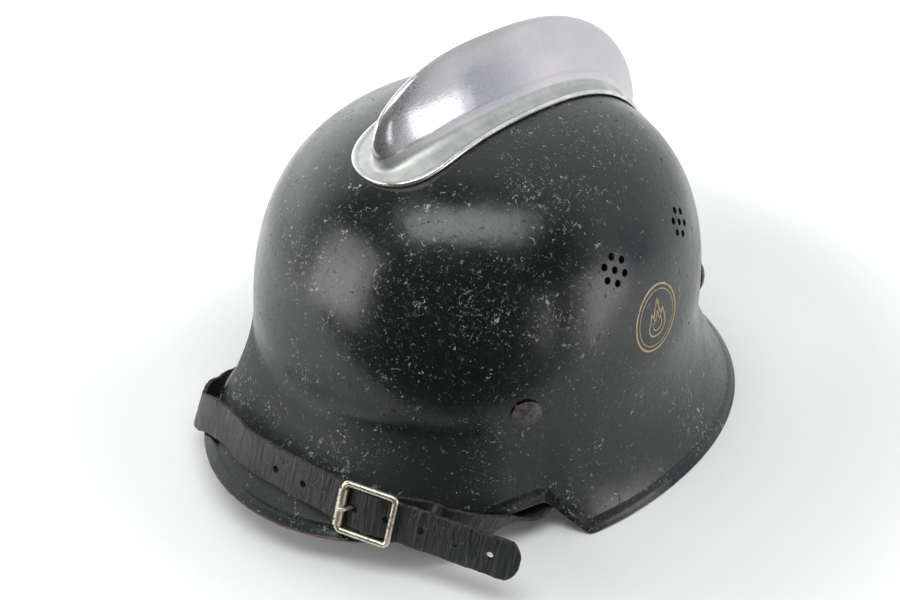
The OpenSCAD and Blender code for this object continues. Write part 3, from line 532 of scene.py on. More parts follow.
def comb_body():
    f = Finish("comb polished aluminium")
    down = f.part(f.uv, 1)
    tone = f.band(f.noise(30, 4, 0.6), 0.3, 0.7)
    base = f.tint(tone, (0.42, 0.435, 0.475), (0.56, 0.54, 0.555))
    crest = f.band(f.calc("ADD", down, f.times(f.noise(120, 3, 0.6), 0.07)), 0.91, 1.03)
    colour = f.tint(crest, base, (0.36, 0.37, 0.36))
    dots = f.band(f.noise(620, 3, 0.6), 0.62, 0.72)
    colour = f.tint(f.times(dots, 0.35), colour, (0.36, 0.36, 0.37))
    hair = f.noise(1.0, 3, 0.55, 0.0, f.stretch(f.place, (90, 1300, 1300), (0, -8, 0)))
    deep = f.band(f.noise(1.0, 1, 0.4, 0.0, f.stretch(f.place, (60, 900, 1100), (0, 35, 10))), 0.71, 0.76)
    wave = f.relief(f.noise(40, 2, 0.5), 0.0003)
    normal = f.relief(hair, 0.00004, wave)
    normal = f.relief(f.calc("SUBTRACT", 1.0, deep), 0.00005, normal)
    # towards the rear the comb is made hazier and paler: partly a duller polish, partly a painted sheen
    back = f.band(f.part(f.place, 0), -0.018, 0.022, 0.80, 0.46)
    foot = f.band(down, 0.26, 0.08)
    haze = f.most(back, f.times(crest, 0.95), f.band(f.noise(55, 4, 0.6), 0.5, 0.75, 0.3, 0.75), foot)
    # fine dull grit on a bright polish
    grit = f.band(f.calc("ADD", f.noise(5200, 2, 0.5), f.times(haze, 0.4)), 0.66, 0.74)
    rough = f.calc("ADD", f.times(grit, 0.40), 0.13)
    # painted sheen: the pale tone turns paler and pinker towards the comb's rear
    pale = f.tint(f.band(f.part(f.place, 0), 0.01, -0.03), (0.60, 0.58, 0.585), (0.92, 0.88, 0.89))
    return f.done(f.tint(f.times(haze, 0.45), colour, pale), rough, 0.9, normal)


def comb_flange():
    f = Finish("comb brushed flange")
    tone = f.band(f.noise(60, 4, 0.6), 0.3, 0.7)
    base = f.tint(tone, (0.44, 0.45, 0.44), (0.60, 0.60, 0.59))
    grime = f.times(f.band(f.noise(210, 5, 0.65), 0.5, 0.72), 0.5)
    colour = f.tint(grime, base, (0.33, 0.34, 0.31))
    normal = f.relief(f.noise(900, 4, 0.65), 0.00010)
    return f.done(colour, f.band(f.noise(80, 3, 0.6), 0.3, 0.7, 0.42, 0.58), 0.75, normal)


def comb_bead():
    f = Finish("comb rolled edge")
    base = f.tint(f.band(f.noise(120, 4, 0.6), 0.35, 0.7), (0.78, 0.78, 0.77), (0.55, 0.56, 0.56))
    dark = f.band(f.noise(260, 4, 0.6), 0.62, 0.72)
    colour = f.tint(f.times(dark, 0.55), base, (0.16, 0.15, 0.14))
    return f.done(colour, f.band(f.noise(150, 3, 0.6), 0.3, 0.7, 0.20, 0.36), 0.9,
                  f.relief(f.noise(300, 3, 0.6), 0.00012))


def comb_inside():
    f = Finish("comb inner face")
    colour = f.tint(f.noise(90, 4, 0.6), (0.36, 0.37, 0.37), (0.56, 0.56, 0.55))
    return f.done(colour, 0.5, 0.8, f.relief(f.noise(600, 3, 0.6), 0.0001))


def strap_grain():
    f = Finish("strap black leather")
    over = f.part(f.uv, 1)
    fold = f.noise(430, 4, 0.6, 0.25, f.stretch(f.uv, (1, 0.10, 1)))
    fine = f.noise(1500, 4, 0.6, 0.2, f.stretch(f.uv, (1, 0.22, 1)))
    crack = f.cells(330, "DISTANCE_TO_EDGE", "Distance", f.stretch(f.uv, (1, 0.30, 1)))
    crack = f.band(crack, 0.0, 0.09, 1.0, 0.0)
    crack = f.times(crack, f.band(f.noise(90, 3, 0.6), 0.42, 0.62))
    base = f.tint(f.noise(120, 4, 0.6), (0.0070, 0.0082, 0.0086), (0.020, 0.0215, 0.0215))
    rubbed = f.times(f.band(fold, 0.56, 0.72), f.band(f.noise(35, 3, 0.6), 0.4, 0.66))
    colour = f.tint(f.times(rubbed, 0.7), base, (0.150, 0.155, 0.145))
    edge = f.band(f.calc("ABSOLUTE", over), 0.0078, 0.0090)
    edge = f.times(edge, f.band(f.noise(240, 3, 0.6), 0.4, 0.6), 0.8)
    colour = f.tint(edge, colour, (0.085, 0.080, 0.066))
    colour = f.tint(f.times(crack, 0.7), colour, (0.006, 0.006, 0.006))
    rough = f.band(f.noise(160, 4, 0.6), 0.3, 0.7, 0.30, 0.46)
    normal = f.relief(fold, 0.0013)
    normal = f.relief(fine, 0.00012, normal)
    normal = f.relief(f.calc("SUBTRACT", 1.0, crack), 0.00022, normal)
    return f.done(colour, rough, 0.0, normal, Specular_IOR_Level=0.46)


def strap_edge():
    f = Finish("strap raw edge")
    fibre = f.noise(520, 5, 0.65, 0.3, f.stretch(f.uv, (1, 3, 1)))
    colour = f.tint(f.band(fibre, 0.35, 0.65), (0.014, 0.013, 0.012), (0.070, 0.067, 0.057))
    brown = f.band(f.noise(120, 3, 0.6), 0.52, 0.66)
    colour = f.tint(f.times(brown, 0.6), colour, (0.050, 0.032, 0.021))
    return f.done(colour, 0.82, 0.0, f.relief(fibre, 0.0004), Specular_IOR_Level=0.25)


def strap_back():
    f = Finish("strap flesh side")
    nap = f.noise(900, 5, 0.7)
    colour = f.tint(nap, (0.012, 0.011, 0.010), (0.048, 0.042, 0.036))
    return f.done(colour, 0.85, 0.0, f.relief(nap, 0.0003), Specular_IOR_Level=0.2)


def liner_leather():
    f = Finish("liner tan leather")
    pore = f.cells(1500, "F1", "Distance")
    cloud = f.noise(38, 5, 0.6)
    base = f.tint(f.band(cloud, 0.3, 0.7), (0.215, 0.110, 0.052), (0.385, 0.225, 0.118))
    dark = f.times(f.band(f.noise(22, 3, 0.6), 0.52, 0.68), 0.7)
    colour = f.tint(dark, base, (0.085, 0.046, 0.026))
    crease = f.band(f.noise(1.0, 4, 0.6, 0.4, f.stretch(f.place, (60, 60, 260))), 0.5, 0.7)
    colour = f.tint(f.times(crease, 0.25), colour, (0.10, 0.055, 0.03))
    normal = f.relief(pore, 0.00022)
    normal = f.relief(crease, 0.0004, normal)
    return f.done(colour, f.band(cloud, 0.3, 0.7, 0.42, 0.62), 0.0, normal, Sheen_Weight=0.08)


def felt_wool():
    f = Finish("felt grey wool")
    fuzz = f.noise(1900, 6, 0.75, 0.6)
    colour = f.tint(fuzz, (0.22, 0.21, 0.18), (0.50, 0.48, 0.42))
    colour = f.tint(f.band(f.noise(70, 4, 0.6), 0.55, 0.7, 0, 0.5), colour, (0.24, 0.20, 0.15))
    return f.done(colour, 0.95, 0.0, f.relief(fuzz, 0.0008), Sheen_Weight=0.6, Sheen_Roughness=0.5,
                  Specular_IOR_Level=0.1)


def lace_cotton():
    f = Finish("lace twisted cotton")
    twist = f.node("ShaderNodeTexWave", wave_type="BANDS", bands_direction="DIAGONAL")
    f.feed(twist.inputs["Vector"], f.stretch(f.uv, (3, 1900, 1)))
    f.feed(twist.inputs["Scale"], 1.0)
    f.feed(twist.inputs["Distortion"], 1.2)
    ply = twist.outputs["Fac"]
    colour = f.tint(ply, (0.36, 0.31, 0.22), (0.68, 0.62, 0.48))
    colour = f.tint(f.band(f.noise(160, 3, 0.6), 0.5, 0.7, 0, 0.4), colour, (0.30, 0.25, 0.18))
    return f.done(colour, 0.9, 0.0, f.relief(ply, 0.0003), Sheen_Weight=0.3)


def band_steel():
    f = Finish("liner zinc steel")
    bloom = f.noise(110, 5, 0.6)
    spangle = f.cells(220, "F1", "Color")
    base = f.tint(bloom, (0.30, 0.31, 0.31), (0.50, 0.51, 0.50))
    base = f.tint(0.12, base, spangle, "OVERLAY")
    rust = f.times(f.band(f.noise(150, 5, 0.65), 0.58, 0.68), f.band(f.noise(30, 2, 0.5), 0.45, 0.6))
    colour = f.tint(rust, base, (0.145, 0.070, 0.035))
    rough = f.band(bloom, 0.3, 0.7, 0.34, 0.52)
    return f.done(colour, f.calc("MAXIMUM", rough, f.times(rust, 0.8)),
                  f.band(rust, 0, 1, 0.85, 0.1), f.relief(f.noise(600, 4, 0.6), 0.00008))


def nickel():
    f = Finish("buckle worn nickel")
    tone = f.noise(240, 4, 0.6)
    base = f.tint(tone, (0.56, 0.50, 0.40), (0.74, 0.71, 0.63))
    brass = f.band(f.noise(150, 4, 0.6), 0.52, 0.66)
    colour = f.tint(f.times(brass, 0.45), base, (0.55, 0.42, 0.22))
    rust = f.band(f.noise(330, 5, 0.65, 0.3), 0.585, 0.65)
    colour = f.tint(f.times(rust, 0.9), colour, (0.085, 0.045, 0.024))
    grime = f.band(f.noise(700, 4, 0.6), 0.6, 0.7)
    colour = f.tint(f.times(grime, 0.5), colour, (0.10, 0.085, 0.065))
    rough = f.band(tone, 0.3, 0.7, 0.24, 0.40)
    rough = f.calc("MAXIMUM", rough, f.times(rust, 0.8))
    return f.done(colour, rough, f.band(rust, 0, 1, 0.95, 0.15), f.relief(f.noise(800, 4, 0.6), 0.00010))


def rivet_paint():
    f = Finish("rivet scuffed paint")
    wear = f.noise(420, 5, 0.65)
    colour = f.tint(f.band(wear, 0.35, 0.65), (0.030, 0.025, 0.024), (0.105, 0.090, 0.088))
    dark = f.band(f.noise(560, 4, 0.6), 0.58, 0.66)
    colour = f.tint(f.times(dark, 0.85), colour, (0.012, 0.009, 0.008))
    bright = f.band(f.noise(900, 3, 0.6), 0.68, 0.75)
    colour = f.tint(f.times(bright, 0.7), colour, (0.30, 0.28, 0.26))
    return f.done(colour, f.band(wear, 0.3, 0.7, 0.42, 0.62), 0.0, f.relief(wear, 0.00018))


def badge_gold():
    f = Finish("badge gold line")
    gone = f.band(f.noise(520, 4, 0.6), 0.56, 0.64)
    tone = f.noise(300, 3, 0.6)
    colour = f.tint(tone, (0.34, 0.25, 0.13), (0.58, 0.45, 0.27))
    colour = f.tint(f.times(gone, 0.75), colour, (0.035, 0.033, 0.028))
    return f.done(colour, 0.45, 0.25, f.relief(tone, 0.00003))


def seat_mark():
    f = Finish("comb seat stain")
    gone = f.band(f.noise(260, 4, 0.6), 0.50, 0.66)
    colour = f.tint(gone, (0.052, 0.047, 0.034), (0.018, 0.019, 0.016))
    line = f.band(f.calc("ADD", f.part(f.uv, 1), f.times(f.noise(300, 3, 0.6), 0.12)), 0.66, 0.76)
    colour = f.tint(line, colour, (0.016, 0.010, 0.006))
    return f.done(colour, 0.55, 0.0, f.relief(f.noise(700, 3, 0.6), 0.0001))


PAINT, INSIDE, RIM = outer_paint(), inner_paint(), rim_steel()
# the pieces that keep their CAD shape
STEEL, NICKEL, RIVET = band_steel(), nickel(), rivet_paint()
for name, material in {"liner_rivets": RIVET, "rivet_washers": STEEL, "outer_band": STEEL,
                       "spring_bows": STEEL, "bow_rivets": STEEL, "inner_band": STEEL,
                       "liner_studs": STEEL, "bail_clips": STEEL, "clip_rivets": STEEL,
                       "bail_left": NICKEL, "bail_right": NICKEL, "strap_studs": STEEL,
                       "buckle_frame": NICKEL, "buckle_roller": NICKEL, "comb_tabs": STEEL}.items():
    for place in NODE[name].material_slots:
        place.material = material


# Shell
VENT_ANGLES, VENT_Z, VENT_D, VENT_PITCH = (78.6, 112.8), 118.0, 3.4, 6
RIVET_ANGLES, RIVET_Z, RIVET_HOLE = (52, 136), 65.0, 4.2
SLOT_BEARINGS, SLOT_SIZE = (72, 105, 138), (1.4, 8.4, 7.2)
LIP_ROUND = 0.4
GROOVE_DEPTH = 0.26


def shell_rows():
    """The shell's rows from the crown out over the edge and back inside: how far down, depth under
    the outer face, and how far out from the edge."""
    outer = [((k / 46) ** 1.3, 0, 0) for k in range(47)]
    outer += [(1 + k / 20, 0, 0) for k in range(1, 18)]
    outer += [(v, 0, 0) for v in (1.9, 1.94, 1.965, 1.985, 2.0, 2.02, 2.045, 2.08, 2.13, 2.2, 2.32,
                                  2.46, 2.6, 2.74, 2.86)]
    r = LIP_ROUND
    round_off = [(3.0, r - r * cosd(q), -r + r * sind(q)) for q in (0, 22, 45, 68, 90)]
    under = [(3.0, WALL - d, a) for _, d, a in reversed(round_off)]
    inner = [(v, WALL, 0) for v in (2.86, 2.6, 2.3, 2.1, 2.0)]
    inner += [(1 + k / 12, WALL, 0) for k in range(11, 0, -1)]
    inner += [((k / 34) ** 1.3, WALL, 0) for k in range(34, -1, -1)]
    # outer paint, then the bare rim, then the inner paint
    kinds = [0] * (len(outer) + 1) + [2] * (len(round_off) + len(under) - 2)
    rows = outer + round_off + under + inner
    return rows, kinds + [1] * (len(rows) - len(kinds))


def vent_group(tools, side, angle):
    """Adds seven rods in three rows, square to the shell."""
    at = wall_pt(np.array(angle), VENT_Z)
    n = shell_normal(col_at(np.array(angle)), dome_tilt(VENT_Z) / BROW_TILT)
    tilt, turn = np.degrees(np.arccos(n[2])), np.degrees(np.arctan2(n[1], n[0]))
    down = np.array([cosd(tilt) * cosd(turn), cosd(tilt) * sind(turn), -sind(tilt)])
    around = np.array([-sind(turn), cosd(turn), 0])
    for row in (-1, 0, 1):
        for k in range(3 - abs(row)):
            step = k - (2 - abs(row)) / 2
            spot = at + down * step * VENT_PITCH + around * row * VENT_PITCH * sind(60)
            rod(tools, spot * (1, side, 1), n * (1, side, 1), VENT_D, 5, 28)


def shell_holes():
    """The tools for the vents, the rivet holes and the slots of the comb's tabs."""
    tools = bmesh.new()
    for side in (1, -1):
        for angle in VENT_ANGLES:
            vent_group(tools, side, angle)
        for angle in RIVET_ANGLES:
            at = polar(side * angle, plan(angle) * dome_ratio(RIVET_Z), RIVET_Z)
            turn = side * plan_normal(np.array(float(angle)))
            rod(tools, at, (cosd(turn), sind(turn), 0), RIVET_HOLE, 12, 28)
    for bearing in SLOT_BEARINGS:
        n = crown_normal(np.array([float(bearing)]))[0]
        along = np.array([n[2], 0, -n[0]])
        block(tools, crown_pt(np.array([float(bearing)]))[0], (along, (0, 1, 0), n), SLOT_SIZE)
    return tools


def build_shell():
    rows, kinds = shell_rows()
    c = np.arange(0, 2 * HALF_COLS, 0.2)
    v = np.array([row[0] for row in rows])[:, None]
    depth = np.array([row[1] for row in rows])[:, None, None]
    out = np.array([row[2] for row in rows])[:, None, None]
    cc, vv = np.meshgrid(c, v[:, 0])
    p = shell_pt(cc, vv)
    n = shell_normal(cc, np.maximum(vv, 0.03))
    n[vv < 0.03] = (0, 0, 1)
    # the neck guard's edge is level, so that it stands flat
    flat = n * np.array([1, 1, 0])
    flat = flat / np.maximum((flat * flat).sum(-1, keepdims=True), 0.05)
    half = np.minimum(cc, 2 * HALF_COLS - cc)
    corner = FRONT_COLS + DIP_COLS
    level = (ease(half, corner - 0.4, corner + 0.1) * (vv > 2.99))[..., None]
    beyond = unit(shell_pt(cc, np.full_like(vv, 3.0)) - shell_pt(cc, np.full_like(vv, 2.8)))
    p = p - depth * mix(n, flat, level) + out * beyond
    # a fine groove runs along the inner side of the lip
    groove = (np.exp(-((vv - 2.06) * LIP_WIDTH / 1.3) ** 2)
              - 0.7 * np.exp(-((vv - 2.42) * LIP_WIDTH / 1.5) ** 2))
    p = p - (GROOVE_DEPTH * groove * (depth[..., 0] == 0))[..., None] * n
    p[..., 2] = np.maximum(p[..., 2], 0)
    uv = np.stack([cc / (2 * HALF_COLS), np.where(depth[..., 0] < 0.01, vv / 3, 1.0)], -1)
    bm = bmesh.new()
    lay_grid(bm, p, uv, kinds, wrap_cols=True)
    tidy_normals(bm)
    skin = finish_piece("shell_skin", bm, [PAINT, INSIDE, RIM])
    cut(skin, shell_holes())
    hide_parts("shell")


# Comb
COMB_SEAT, COMB_SHEET, COMB_HEIGHT, COMB_HALF, FLANGE_HALF = 0.4, 1.5, 30.4, 13.9, 24.5
# the bearing of the comb's middle, and how many degrees a mm along the crown takes
COMB_BEARING, CROWN_DEGREES = 88, 0.514
# at the nose and at the tail: reach along the crown, and how square the outline is
COMB_REACH, FLANGE_REACH = np.array([70.6, 132.9]), np.array([77.4, 144.6])
COMB_SQUARE, FLANGE_SQUARE = np.array([2.6, 7.0]), np.array([8.0, 15.6])
CREST_SQUARE = np.array([3.0, 2.1])


def dome_excess(p):
    """Above 0 outside the dome, below 0 inside it."""
    r = np.hypot(p[..., 0], p[..., 1])
    angle = np.degrees(np.arctan2(p[..., 1], np.where(r < 0.01, 1.0, p[..., 0])))
    return (r / plan(angle)) ** POWER + np.maximum(0, dome_level(p[..., 2])) ** POWER - 1


def to_dome(p, d, lo, hi):
    """How far the dome is from a point along d, found by halving between lo and hi."""
    lo, hi = np.full(p.shape[:-1], float(lo)), np.full(p.shape[:-1], float(hi))
    for _ in range(26):
        m = (lo + hi) / 2
        outside = dome_excess(p + d * m[..., None]) > 0
        hi, lo = np.where(outside, m, hi), np.where(outside, lo, m)
    return (lo + hi) / 2


def crown_pt(bearing):
    d = np.stack([cosd(bearing), 0 * bearing, sind(bearing)], -1)
    start = np.zeros_like(d) + np.array([0, 0, BROW])
    return start + d * to_dome(start, d, 40, 160)[..., None]


def crown_normal(bearing):
    p = crown_pt(bearing)
    a = np.where(p[..., 0] > 0, FRONT, REAR)
    return unit(np.stack([np.sign(p[..., 0]) * np.abs(p[..., 0] / a) ** (POWER - 1) / a, 0 * a,
                          dome_level(p[..., 2]) ** (POWER - 1) / (CROWN - BASE)], -1))


def comb_pt(s, y, h):
    """A point so far along the crown, so far to the left and so high over the dome."""
    bearing = COMB_BEARING - CROWN_DEGREES * s
    n = crown_normal(bearing)
    p = crown_pt(bearing) + np.stack([0 * y, y, 0 * y], -1)
    return p + n * (h + to_dome(p, n, -30, 2))[..., None]


RING = np.arange(0, 360, 1.25)


def comb_ring(lengths, half_width, squares, h):
    c, s = cosd(RING), sind(RING)
    end = np.where(c >= 0, 0, 1)
    return comb_pt(np.asarray(lengths)[end] * c, half_width * np.sign(s) * np.sqrt(
        np.maximum(0, 1 - np.abs(c) ** np.asarray(squares)[end])), np.full(len(RING), float(h)))


def body_ring(share, thin=0.0):
    share = min(share, 0.99999)
    return comb_ring((COMB_REACH - thin) * (1 - share ** CREST_SQUARE) ** (1 / CREST_SQUARE),
                     (COMB_HALF - thin) * (1 - share ** 1.3) ** 0.75, COMB_SQUARE,
                     COMB_SEAT + COMB_SHEET - thin + share * COMB_HEIGHT)


def flange_ring(share, h, thin=0.0):
    return comb_ring(mix(COMB_REACH - thin, FLANGE_REACH, share),
                     mix(COMB_HALF - thin, FLANGE_HALF, share),
                     mix(COMB_SQUARE, FLANGE_SQUARE, share), h)


def build_comb():
    top = COMB_SEAT + COMB_SHEET
    rings, kinds, marks = [], [], []

    def add(ring, kind, mark):
        rings.append(ring)
        kinds.append(kind)
        marks.append(mark)

    for share in (1.0, 0.9995, 0.998, 0.995, 0.99, 0.982, 0.97, 0.955, 0.935, 0.91, 0.88, 0.84, 0.8,
                  0.75, 0.69, 0.63, 0.56, 0.49, 0.42, 0.35, 0.28, 0.225, 0.185):
        add(body_ring(share), 0, share)
    for share, h in ((0.0, 4.3), (0.022, 3.1), (0.06, 2.1), (0.11, 1.3), (0.17, 0.7),
                     (0.24, 0.3), (0.31, 0.1)):
        add(flange_ring(share, top + h), 0 if h > 2.5 else 1, 0.05)
    for share, h in ((0.4, 0.02), (0.52, 0), (0.62, -0.04), (0.70, -0.12), (0.745, -0.16),
                     (0.785, -0.02)):
        add(flange_ring(share, top + h), 1, 0.0)
    for share, h in ((0.82, 0.25), (0.855, 0.52), (0.89, 0.7), (0.925, 0.74), (0.955, 0.62), (0.98, 0.36),
                     (0.995, 0.0), (1.0, -0.4), (0.998, -0.85), (0.985, -1.2), (0.965, -1.42)):
        add(flange_ring(share, top + h), 2, 0.0)
    for share in (0.8, 0.55, 0.3, 0.12):
        add(flange_ring(share, COMB_SEAT, COMB_SHEET), 3, 0.0)
    for share in (0.1, 0.2, 0.3, 0.42, 0.54, 0.66, 0.76, 0.84, 0.9, 0.935, 0.95):
        add(body_ring(share, COMB_SHEET), 3, 0.0)
    pts = np.array(rings)
    last = pts[-1].mean(0)
    pts = np.concatenate([pts, mix(pts[-1:], last, 0.5), np.broadcast_to(last, pts[-1:].shape)])
    kinds += [3, 3]
    marks += [0, 0]
    uv = np.stack(np.broadcast_arrays(RING[None] / 360, np.array(marks, float)[:, None]), -1)
    bm = bmesh.new()
    lay_grid(bm, pts, uv, kinds, wrap_cols=True)
    tidy_normals(bm)
    comb = finish_piece("comb_skin", bm, [comb_body(), comb_flange(), comb_bead(), comb_inside()],
                        sharp=60)
    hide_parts("comb")


def build_seat_mark():
    """The stain that the comb's flange has left on the paint in front."""
    wide = np.where(RING > 180, ease(RING, 318, 345), 1 - ease(RING, 30, 62))
    wide = (0.02 + 0.13 * wide + 0.05 * np.exp(-((RING - 24) / 14) ** 2)
            + 0.09 * np.exp(-((RING - 50) / 9) ** 2))
    inner, outer = flange_ring(1.0, 0.0), flange_ring(1.35, 0.0)
    away = (outer - inner) / 0.35
    up = crown_normal(np.full(1, 40.0))[0]
    stain = np.array([inner + away * (share * wide[:, None] - 0.03) + up * h
                      for share, h in ((0, 0.05), (0.5, 0.10), (0.8, 0.10), (0.9, 0.10), (1.0, 0.03))])
    bm = bmesh.new()
    lay_grid(bm, stain, wrap_cols=True)
    mark = finish_piece("comb_seat_mark", bm, [seat_mark()])


# Straps and buckle prong
HALF_W, STRAP_WALL, SHORT_WALL, LEAN = 9.0, 2.0, 1.6, 18.0
STRAP_STEPS, STRAP_ROUND = 9, 0.5
# the strap's holes and the prong's slot, and the holes of the studs that close its loops
HOLE_D, HOLE_PITCH, PRONG_X, PRONG_SLOT = 3.2, 15.5, -6.8, 2.9
STUD_HOLE, STUD_DROP, HEEL_STUD_X = 2.8, -12.6, 8.4
BUCKLE_AT = np.array([132.4, 54.2, 31.4])
HEEL_Z, HEEL_D = -4.8, 2.2


def turn_x(v, a):
    return np.array([v[0], v[1] * cosd(a) - v[2] * sind(a), v[1] * sind(a) + v[2] * cosd(a)])


def turn_z(v, a):
    return np.array([v[0] * cosd(a) - v[1] * sind(a), v[0] * sind(a) + v[1] * cosd(a), v[2]])


def buckle_dir(v):
    return turn_z(turn_x(turn_z(v, -5.5), 90 - LEAN), 114)


def buckle_pt(x, y, z):
    return BUCKLE_AT + buckle_dir([x, y, z])


# the buckle's own axes: along the strap, across it and out of it
BX, BY, BZ = [buckle_dir(v) for v in ((1, 0, 0), (0, 1, 0), (0, 0, 1))]


def by_buckle(x, y, z, hw=HALF_W):
    """A strap station beside the buckle: its centre, and half its width as a vector."""
    return [buckle_pt(x, y, z), buckle_dir([0, hw, 0])]


def by_edge(angle, out, rise, stand):
    """A strap station by the shell's edge, at an angle, leaning by so many degrees."""
    r, z = edge_at(float(angle))
    radial = polar(angle, 1, 0)
    return [polar(angle, r + out, z + rise),
            HALF_W * (cosd(stand) * np.array([0, 0, 1.0]) - sind(stand) * radial)]


def by_top(angle, out, rise, stand):
    """The same, with the place of the strap's upper edge given."""
    return by_edge(angle, out + HALF_W * sind(stand), rise - HALF_W * cosd(stand), stand)


BAIL_ANGLE, BAIL_IN, BAIL_Z, BAIL_D = 86.0, 5.9, 36.9, 2.5
BAIL_R = wall_r(BAIL_ANGLE) - BAIL_IN


def by_bail(side, out, up):
    return [polar(side * BAIL_ANGLE, BAIL_R + out, BAIL_Z + up),
            HALF_W * polar(side * (BAIL_ANGLE - 90), 1, 0)]


def bail_loop(side, wall):
    apart, rnd = wall / 2 + 0.25, BAIL_D / 2 + 1.95 + wall / 2
    return [by_bail(side, *p) for p in (
        (apart, -15.5), (apart, -9.4), (2.6, -5.2), (rnd, -1.5), (0.8 * rnd, 2.6), (0, rnd + 0.2),
        (-0.8 * rnd, 2.6), (-rnd, -1.5), (-2.6, -5.2), (-apart, -9.4), (-apart, -15.5))]


def bail_twist(side):
    return [[polar(side * BAIL_ANGLE, BAIL_R - 1.3, BAIL_Z + p[1]) + np.array([p[0], -side * p[5], 0]),
             HALF_W * unit(np.array([p[2], side * p[3], p[4]]))]
            for p in ((1, -20.4, 0.8, 0.6, 0, 0), (2.7, -24.4, 0.35, 0.94, 0, 0.2),
                      (9, -26.9, 0.1, 1, 0.05, 1.2), (30, -28, 0.25, 0.95, 0.2, 3.8),
                      (44.7, -29.1, 0.45, 0.86, 0.25, 7.6))]


LONG_ROUTE = (
    bail_loop(-1, STRAP_WALL) + bail_twist(-1)
    + [by_top(-52.5, 1, -5.5, -72), by_top(-47.5, 2, -5.2, -66), by_top(-42.5, 2.8, -3.4, -56),
       by_top(-38.5, 3.8, 0.5, -38), by_top(-35.3, 3.1, 4.6, -12), by_top(-32.2, 1.7, 9.4, 6),
       by_top(-29, 0.4, 12.8, 16), by_edge(-25.6, 2.2, 5.6, 18), by_edge(-20.5, -4.4, 11, 18),
       by_edge(-14, -11.6, 13.8, 18), by_edge(-7, -13.8, 14.6, 18), by_edge(0, -15.5, 15.7, 18),
       by_edge(7.5, -14.4, 16.2, 18), by_edge(14.3, -10.2, 16.5, 18)]
    + [by_buckle(x, 0, z) for x, z in ((-11.8, -3.5), (-7, -2.2), (-4, -1.3), (0, -0.7), (4, -0.9),
                                       (8, -1.7), (12, -2.55), (20, -2.8), (34, -2.6), (48, -2.4))]
    + [by_buckle(61.5, 0, -2.3), by_buckle(64.5, 0, -2.3, HALF_W - 0.9),
       by_buckle(67, 0, -2.3, HALF_W - 3.6), by_buckle(68.2, 0, -2.3, HALF_W - 6.5)])
HEEL_LOOP = HEEL_D / 2 + 0.2 + SHORT_WALL / 2
SHORT_ROUTE = (
    [by_buckle(x, 1.2 if x > 11 else 0, HEEL_Z + z) for x, z in (
        (11, -2.35), (4.5, -2.35), (0.6, -HEEL_LOOP), (-0.76 * HEEL_LOOP, -0.72 * HEEL_LOOP),
        (-HEEL_LOOP, 0.1), (-0.7 * HEEL_LOOP, 0.75 * HEEL_LOOP), (0.2, HEEL_LOOP), (2.6, 1.2),
        (5.5, 0.1), (12, -1.2), (18, -3.2), (23.5, -5.2))]
    + [by_top(34.4, -1.5, 16, 17), by_top(37.4, 2.2, 14.8, 10), by_top(41, 5.4, 12, 0),
       by_top(44.5, 6, 6.9, -20), by_top(47.5, 4.6, 1.2, -40), by_top(51, 3.6, -3.3, -58),
       by_top(55.5, 3.2, -5.5, -72)]
    + bail_twist(1)[::-1] + bail_loop(1, SHORT_WALL)[::-1])


def ripple(s, x, seed):
    """Small lengthwise unevenness of a strap, between -1 and 1."""
    return (0.5 * np.sin(0.83 * s + seed + 0.9 * np.sin(0.21 * s + 0.12 * x))
            + 0.3 * np.sin(2.1 * s + 1.7 * seed + 0.35 * x * np.sin(0.09 * s))
            + 0.2 * np.sin(3.7 * s + 2.3 * seed + 0.2 * x))


def build_strap(name, route, wall, wavy, seed):
    """A leather strap along a route, with rounded edges and creases as deep as wavy says."""
    run = smooth_run(np.array(route), STRAP_STEPS)
    centre, half = run[:, 0], run[:, 1]
    along = unit(np.gradient(centre, axis=0))
    width = np.linalg.norm(half, axis=1)
    flat = unit(half - along * (half * along).sum(1, keepdims=True))
    out = unit(np.cross(along, flat))
    s = np.concatenate([[0], np.cumsum(np.linalg.norm(np.diff(centre, axis=0), axis=1))])
    r = STRAP_ROUND
    across = np.linspace(-1, 1, 21)
    corner = np.array([78, 56, 34, 12, -12, -34, -56, -78.0])
    section = [(x, 0.0, wall / 2) for x in across]
    section += [(1, r * cosd(q), np.sign(q) * (wall / 2 - r) + r * sind(q)) for q in corner]
    section += [(x, 0.0, -wall / 2) for x in across[::-1]]
    section += [(-1, r * cosd(q), -np.sign(q) * (wall / 2 - r) - r * sind(q)) for q in corner]
    # grain side, raw edge, flesh side, raw edge
    side, rim = len(across) - 1, len(corner) + 1
    kinds = [0] * side + [1] * rim + [2] * side + [1] * rim
    sec = np.array(section)
    inner = (width - r)[:, None]
    x = sec[None, :, 0] * inner + np.sign(sec[None, :, 0]) * sec[None, :, 1]
    uneven = 1 + 0.018 * np.sin(0.31 * s + seed) + 0.012 * np.sin(0.97 * s + 2 * seed)
    x = x * np.minimum(uneven, 1.02)[:, None]
    t = sec[None, :, 2] + wavy(np.arange(len(s)) / STRAP_STEPS)[:, None] * ripple(s[:, None], x, seed)
    pts = centre[:, None] + x[..., None] * flat[:, None] + t[..., None] * out[:, None]
    uv = np.stack(np.broadcast_arrays(s[:, None] * MM, x * MM), -1)
    bm = bmesh.new()
    lay_grid(bm, np.swapaxes(pts, 0, 1), np.swapaxes(uv, 0, 1), kinds, wrap_rows=True, cap=True)
    tidy_normals(bm)
    return finish_piece(name, bm, [STRAP_FACE, STRAP_EDGE, STRAP_BACK], sharp=50)


